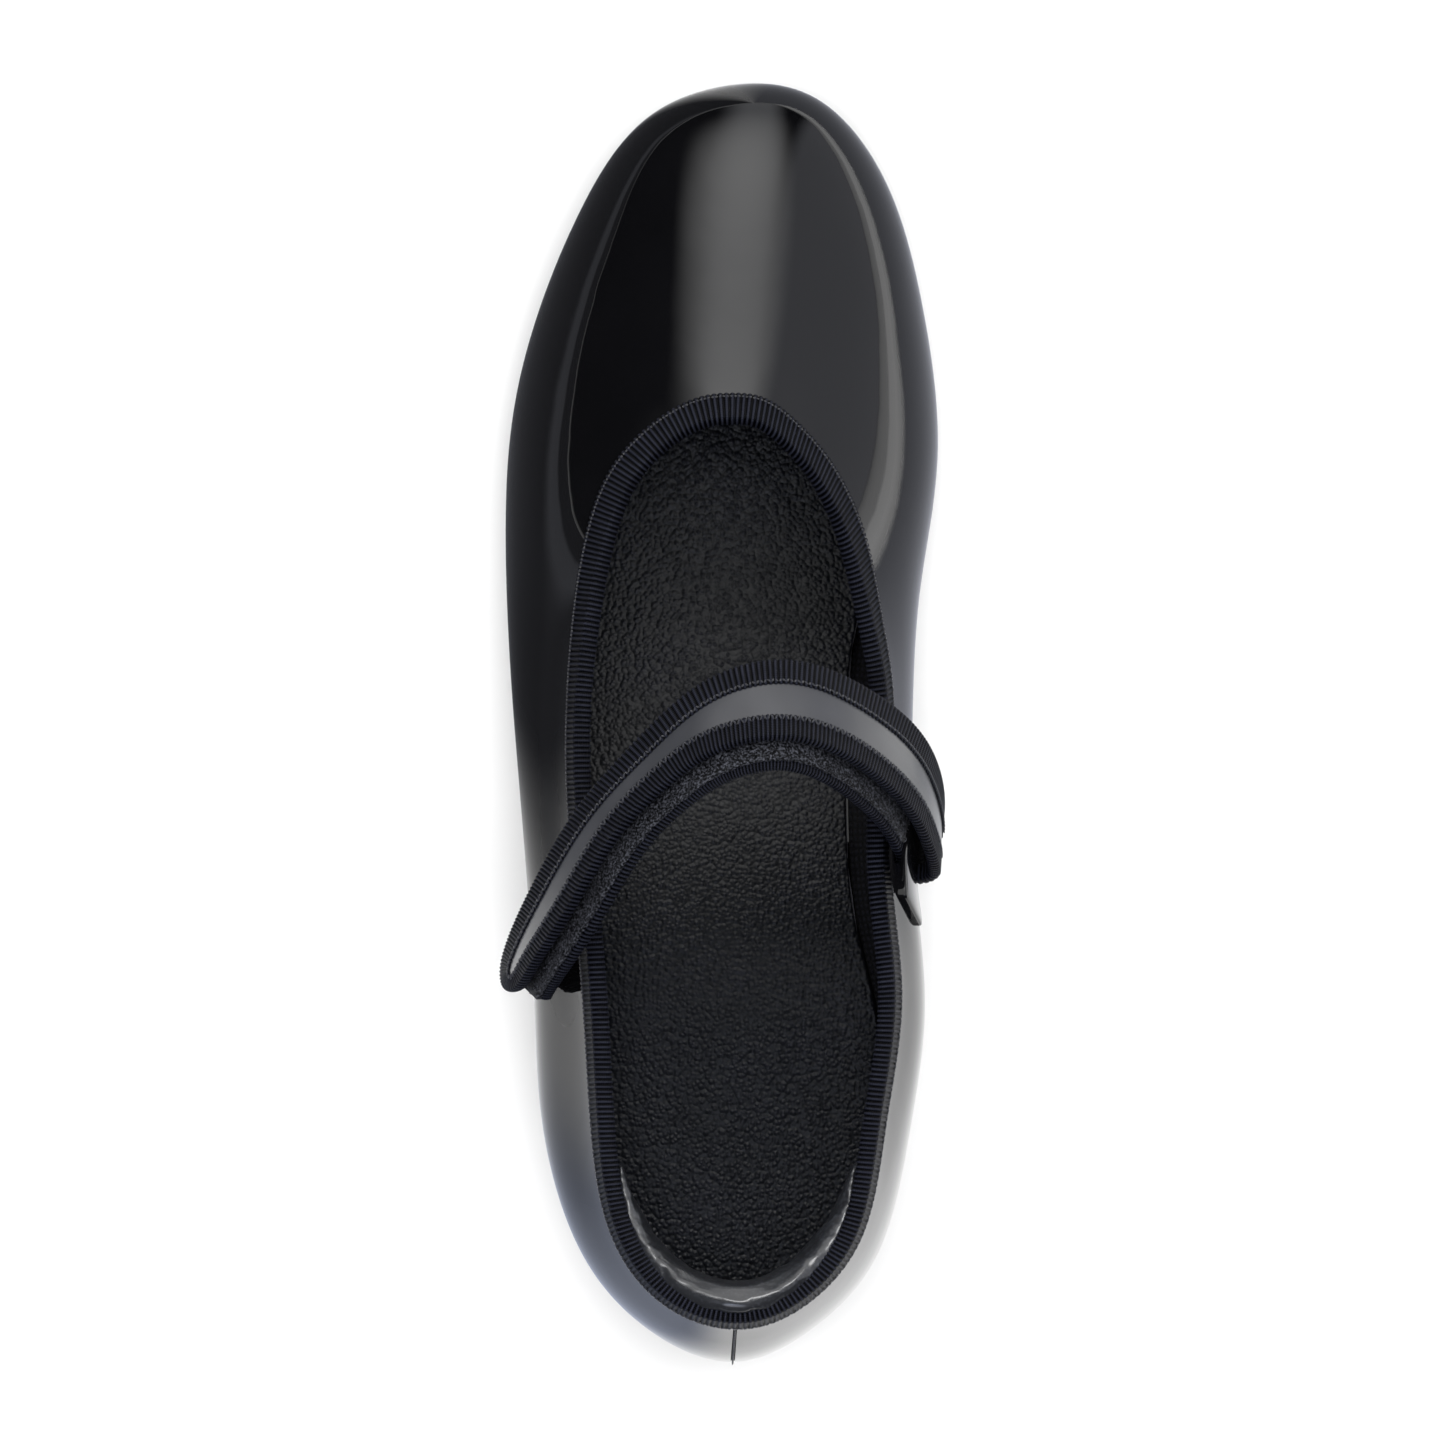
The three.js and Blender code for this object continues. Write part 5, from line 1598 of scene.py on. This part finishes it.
def reflector_card(name, at, aim, wide, tall, glow, soft, colour):
    """A glowing card with soft edges, seen only in glossy surfaces, as a studio's softboxes and flags are."""
    mesh = bpy.data.meshes.new(name)
    mesh.from_pydata([(-wide / 2, -tall / 2, 0), (wide / 2, -tall / 2, 0), (wide / 2, tall / 2, 0),
                      (-wide / 2, tall / 2, 0)], [], [(0, 1, 2, 3)])
    mesh.uv_layers.new(name="UVMap").data.foreach_set("uv", [0, 0, 1, 0, 1, 1, 0, 1])
    card = bpy.data.objects.new(name, mesh)
    place_facing(card, at, aim)
    for ray in ("camera", "diffuse", "transmission", "volume_scatter", "shadow"):
        setattr(card, "visible_" + ray, False)
    finish = bpy.data.materials.new(name)
    finish.use_nodes = True
    tree = finish.node_tree
    tree.nodes.clear()
    flat = add_node(tree, "ShaderNodeSeparateXYZ", inputs={0: add_node(tree, FLAT, BY_UV)})
    edges = []
    for axis, reach in (("X", soft[0]), ("Y", soft[1])):
        off = add_node(tree, MATH, MINUS, {0: flat.outputs[axis], 1: 0.5})
        far = add_node(tree, MATH, {"operation": "ABSOLUTE"}, {0: off})
        edges.append(add_node(tree, RANGE, {"interpolation_type": "SMOOTHSTEP"}, {
            "Value": far, "From Min": 0.5 - reach, "From Max": 0.5, "To Min": 1.0, "To Max": 0.0}))
    share = add_node(tree, MATH, TIMES, {0: edges[0], 1: edges[1]})
    light = add_node(tree, "ShaderNodeEmission", inputs={"Color": linear(colour), "Strength": glow})
    clear = add_node(tree, "ShaderNodeBsdfTransparent")
    mixed = add_node(tree, "ShaderNodeMixShader", inputs={0: share, 1: clear, 2: light})
    add_node(tree, "ShaderNodeOutputMaterial", inputs={"Surface": mixed})
    mesh.materials.append(finish)


# Softboxes that light the scene but don't show in the lacquer: name, place, aim, width, height and watts.
LIGHTS = (
    ("top softbox", (0.15, 0.25, 1.9), (0.0, 0.0, 0.0), 1.9, 1.9, 70),
    ("left fill", (-1.4, -0.3, 0.9), (0.0, 0.0, 0.05), 1.0, 1.0, 10),
    ("rear fill", (0.2, -1.4, 1.1), (0.0, -0.05, 0.05), 1.0, 1.0, 12),
)
# Cards that show only in glossy surfaces: name, place, aim, width, height, glow, how much of the card's half
# width and height its soft edges take up, colour.
CARDS = (
    ("front strip", (-0.02, 1.15, 0.86), (0.0, 0.05, 0.05), 1.45, 1.7, 3.0, (0.5, 0.5), "#ffffff"),
    ("front glow", (0.06, 1.35, 0.75), (0.0, 0.05, 0.05), 0.95, 2.2, 1.2, (0.4, 0.1), "#f8faff"),
    ("right wall", (1.1, 0.75, 0.7), (0.0, 0.05, 0.05), 2.0, 1.9, 0.85, (0.18, 0.12), "#f4f6ff"),
    ("instep card", (0.01, 0.09, 0.18), (0.01, 0.0, 0.09), 0.36, 0.15, 1.2, (0.3, 0.3), "#ffffff"),
    ("heel softbox", (-0.02, -0.1, 0.42), (0.0, -0.1, 0.07), 0.12, 0.12, 3.5, (0.3, 0.3), "#dfe8ff"),
    ("collar lamp", (0.025, 0.1, 0.27), (0.004, -0.112, 0.27), 0.12, 0.11, 15.0, (0.3, 0.3), "#ffffff"),
    ("left rear flag", (-0.65, -0.6, 0.0004), (-0.65, -0.6, 1.0), 1.3, 1.1, 0.7, (0.02, 0.05), "#dfe8ff"),
    ("overhead card", (-0.12, -0.35, 2.1), (0.0, -0.05, 0.0), 0.9, 0.9, 3.2, (0.5, 0.5), "#f4f6ff"),
    ("left flag", (-0.65, 0.5, 0.0004), (-0.65, 0.5, 1.0), 1.3, 1.1, 0.12, (0.02, 0.05), "#f0f3ff"),
    ("right flag", (0.066, 0.5, 0.0008), (0.066, 0.5, 1.0), 0.15, 1.1, 0.62, (0.15, 0.05), "#f0f3ff"),
    ("left band", (-0.23, 0.45, 0.0012), (-0.23, 0.45, 1.0), 0.2, 1.0, 0.42, (0.3, 0.1), "#f0f3ff"),
    ("right band", (0.215, 0.45, 0.0012), (0.215, 0.45, 1.0), 0.18, 1.0, 2.4, (0.3, 0.1), "#ffffff"),
)


def length_prop(name, description, default_mm):
    return bpy.props.FloatProperty(name=name, description=description, default=default_mm * MM, min=0.0,
                                   precision=5, unit="LENGTH", subtype="DISTANCE")


def colour_prop(name, description, hex_colour):
    return bpy.props.FloatVectorProperty(name=name, description=description, default=linear(hex_colour),
                                         size=4, min=0.0, max=1.0, subtype="COLOR")


class TapShoeLook(bpy.types.PropertyGroup):
    """The sizes and colours of the shoe and its stage."""
    lacquer_dark: colour_prop("Lacquer, dark", "The patent leather's deepest tone", "#050506")
    lacquer_light: colour_prop("Lacquer, light", "The patent leather's lightest tone", "#0b0b0d")
    # The strap film's two greys are painted reflection of soft light.
    film_dark: colour_prop("Strap film, dark", "The strap band's darker tone", "#2a2b2f")
    film_light: colour_prop("Strap film, light", "The strap band's lighter tone", "#35363a")
    # Painted shade between the binding's ribs and painted highlight on their crests.
    tape_dark: colour_prop("Tape, dark", "Between the binding's ribs", "#000001")
    tape_light: colour_prop("Tape, light", "On the binding's ribs", "#1f212b")
    # Painted shade in the knit's eyelets, then the cloth's own colour between them.
    lining_dark: colour_prop("Lining, dark", "In the knit's eyelets", "#030304")
    lining_light: colour_prop("Lining, light", "Between the knit's eyelets", "#14151b")
    # Painted shade in the sock's creases and painted highlight on its pebbles.
    sock_dark: colour_prop("Sock, dark", "In the sock leather's creases", "#030406")
    sock_light: colour_prop("Sock, light", "On the sock leather's pebbles", "#0b0c12")
    # Both collar colours are painted lighter grey as painted sheen; the darker one is painted shade in the
    # creases.
    pad_dark: colour_prop("Collar, dark", "In the collar cloth's creases", "#1d1e21")
    pad_light: colour_prop("Collar, light", "On the collar cloth's grain", "#303237")
    # Painted shade deep in the pile and painted highlight on the loop tops.
    pile_dark: colour_prop("Pile, dark", "Deep in the loop pile", "#010102")
    pile_light: colour_prop("Pile, light", "On the pile's loop tops", "#50525a")
    # Painted shade between the thread's plies and painted highlight on them.
    thread_dark: colour_prop("Thread, dark", "Between the thread's plies", "#0a0b0f")
    thread_light: colour_prop("Thread, light", "On the thread's plies", "#2a2c36")
    sole_dark: colour_prop("Sole, dark", "The sole leather's stained tone", "#17110d")
    sole_light: colour_prop("Sole, light", "The sole leather's worn tone", "#2f241b")
    tap_dark: colour_prop("Taps, dark", "The taps' scuffed tone", "#8d9094")
    tap_light: colour_prop("Taps, light", "The taps' bright tone", "#d6d8da")
    floor_dark: colour_prop("Floor, dark", "The floor's darker tone", "#f2f2f2")
    floor_light: colour_prop("Floor, light", "The floor's lighter tone", "#fafafa")
    room: colour_prop("Room", "Light of the unlit room", "#1c1d20")
    rib_height: length_prop("Rib height", "How far the binding's ribs stand up", 0.36)
    zigzag_pitch: length_prop("Zigzag pitch", "From one zigzag stitch to the next", 0.75)
    zigzag_thread: length_prop("Zigzag thread", "Half the thickness of the zigzag's thread", 0.17)
    pile_density: bpy.props.FloatProperty(
        name="Pile density", description="Loops to a square metre of touch tape", default=0.9e6, min=0.0)
    floor_size: length_prop("Floor half size", "From the middle of the floor to its edge", 3000.0)
    view_width: length_prop("View width", "What the camera sees from side to side", 282.5)


def prepare():
    """Makes the finishes and the node trees before the first piece."""
    if not FINISHES:
        make_finishes(chosen())
        make_trees()


class TAPSHOE_OT_upper(bpy.types.Operator):
    """Make the patent upper and the stitching of its closed back seam."""
    bl_idname = "tap_shoe.upper"
    bl_label = "Patent upper"

    def execute(self, context):
        prepare()
        make_upper()
        make_back_seam()
        return {"FINISHED"}


class TAPSHOE_OT_lining(bpy.types.Operator):
    """Make the knitted lining of the quarters and the vamp."""
    bl_idname = "tap_shoe.lining"
    bl_label = "Knitted lining"

    def execute(self, context):
        prepare()
        make_lining()
        return {"FINISHED"}


class TAPSHOE_OT_topline(bpy.types.Operator):
    """Make the ribbed tape round the topline and its zigzag stitching."""
    bl_idname = "tap_shoe.topline"
    bl_label = "Topline binding"

    def execute(self, context):
        prepare()
        make_topline_binding()
        return {"FINISHED"}


class TAPSHOE_OT_collar(bpy.types.Operator):
    """Make the padded collar inside the heel."""
    bl_idname = "tap_shoe.collar"
    bl_label = "Padded collar"

    def execute(self, context):
        prepare()
        make_collar_pad()
        return {"FINISHED"}


class TAPSHOE_OT_sock(bpy.types.Operator):
    """Make the grained leather sock under the foot."""
    bl_idname = "tap_shoe.sock"
    bl_label = "Leather sock"

    def execute(self, context):
        prepare()
        make_sock()
        return {"FINISHED"}


class TAPSHOE_OT_outsole(bpy.types.Operator):
    """Make the leather outsole and its stitching."""
    bl_idname = "tap_shoe.outsole"
    bl_label = "Outsole"

    def execute(self, context):
        prepare()
        make_outsole()
        return {"FINISHED"}


class TAPSHOE_OT_heel(bpy.types.Operator):
    """Make the heel block and its rubber top piece."""
    bl_idname = "tap_shoe.heel"
    bl_label = "Heel"

    def execute(self, context):
        prepare()
        make_heel()
        return {"FINISHED"}


class TAPSHOE_OT_taps(bpy.types.Operator):
    """Make the toe and heel taps and the screws that hold them."""
    bl_idname = "tap_shoe.taps"
    bl_label = "Metal taps"

    def execute(self, context):
        prepare()
        make_taps()
        make_screws()
        return {"FINISHED"}


class TAPSHOE_OT_under_strap(bpy.types.Operator):
    """Make the under-strap with its pile tape, and the patent loop."""
    bl_idname = "tap_shoe.under_strap"
    bl_label = "Under-strap and loop"

    def execute(self, context):
        prepare()
        make_under_strap()
        make_strap_loop()
        return {"FINISHED"}


class TAPSHOE_OT_strap(bpy.types.Operator):
    """Make the strap, its fold behind the loop and its hook tape."""
    bl_idname = "tap_shoe.strap"
    bl_label = "Hook-and-loop strap"

    def execute(self, context):
        prepare()
        make_strap()
        make_fold()
        make_hook_pad()
        return {"FINISHED"}


class TAPSHOE_OT_inside(bpy.types.Operator):
    """Make the finishes of the inner parts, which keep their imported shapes."""
    bl_idname = "tap_shoe.inside"
    bl_label = "Inner parts"

    def execute(self, context):
        prepare()
        dress_kept_nodes()
        return {"FINISHED"}


class TAPSHOE_OT_stage(bpy.types.Operator):
    """Make the floor, the soft boxes and the overhead camera."""
    bl_idname = "tap_shoe.stage"
    bl_label = "Stage and camera"

    def execute(self, context):
        make_stage(context.scene.tap_shoe)
        return {"FINISHED"}


OPERATORS = (
    TAPSHOE_OT_upper, TAPSHOE_OT_lining, TAPSHOE_OT_topline, TAPSHOE_OT_collar, TAPSHOE_OT_sock,
    TAPSHOE_OT_outsole, TAPSHOE_OT_heel, TAPSHOE_OT_taps, TAPSHOE_OT_under_strap, TAPSHOE_OT_strap,
    TAPSHOE_OT_inside, TAPSHOE_OT_stage,
)


class TAPSHOE_PT_panel(bpy.types.Panel):
    """Shows the sizes and colours, and a button for each piece of the shoe."""
    bl_label = "Tap shoe"
    bl_idname = "TAPSHOE_PT_panel"
    bl_space_type = "VIEW_3D"
    bl_region_type = "UI"
    bl_category = "Tap shoe"

    def draw(self, context):
        for name in TapShoeLook.__annotations__:
            self.layout.prop(context.scene.tap_shoe, name)
        for operator in OPERATORS:
            self.layout.operator(operator.bl_idname)


def register():
    bpy.utils.register_class(TapShoeLook)
    bpy.types.Scene.tap_shoe = bpy.props.PointerProperty(type=TapShoeLook)
    for operator in OPERATORS:
        bpy.utils.register_class(operator)
    bpy.utils.register_class(TAPSHOE_PT_panel)


def unregister():
    bpy.utils.unregister_class(TAPSHOE_PT_panel)
    for operator in reversed(OPERATORS):
        bpy.utils.unregister_class(operator)
    del bpy.types.Scene.tap_shoe
    bpy.utils.unregister_class(TapShoeLook)


def main():
    register()
    for operator in OPERATORS:
        name = operator.bl_idname.split(".")[1]
        getattr(bpy.ops.tap_shoe, name)()


if __name__ == "__main__":
    main()
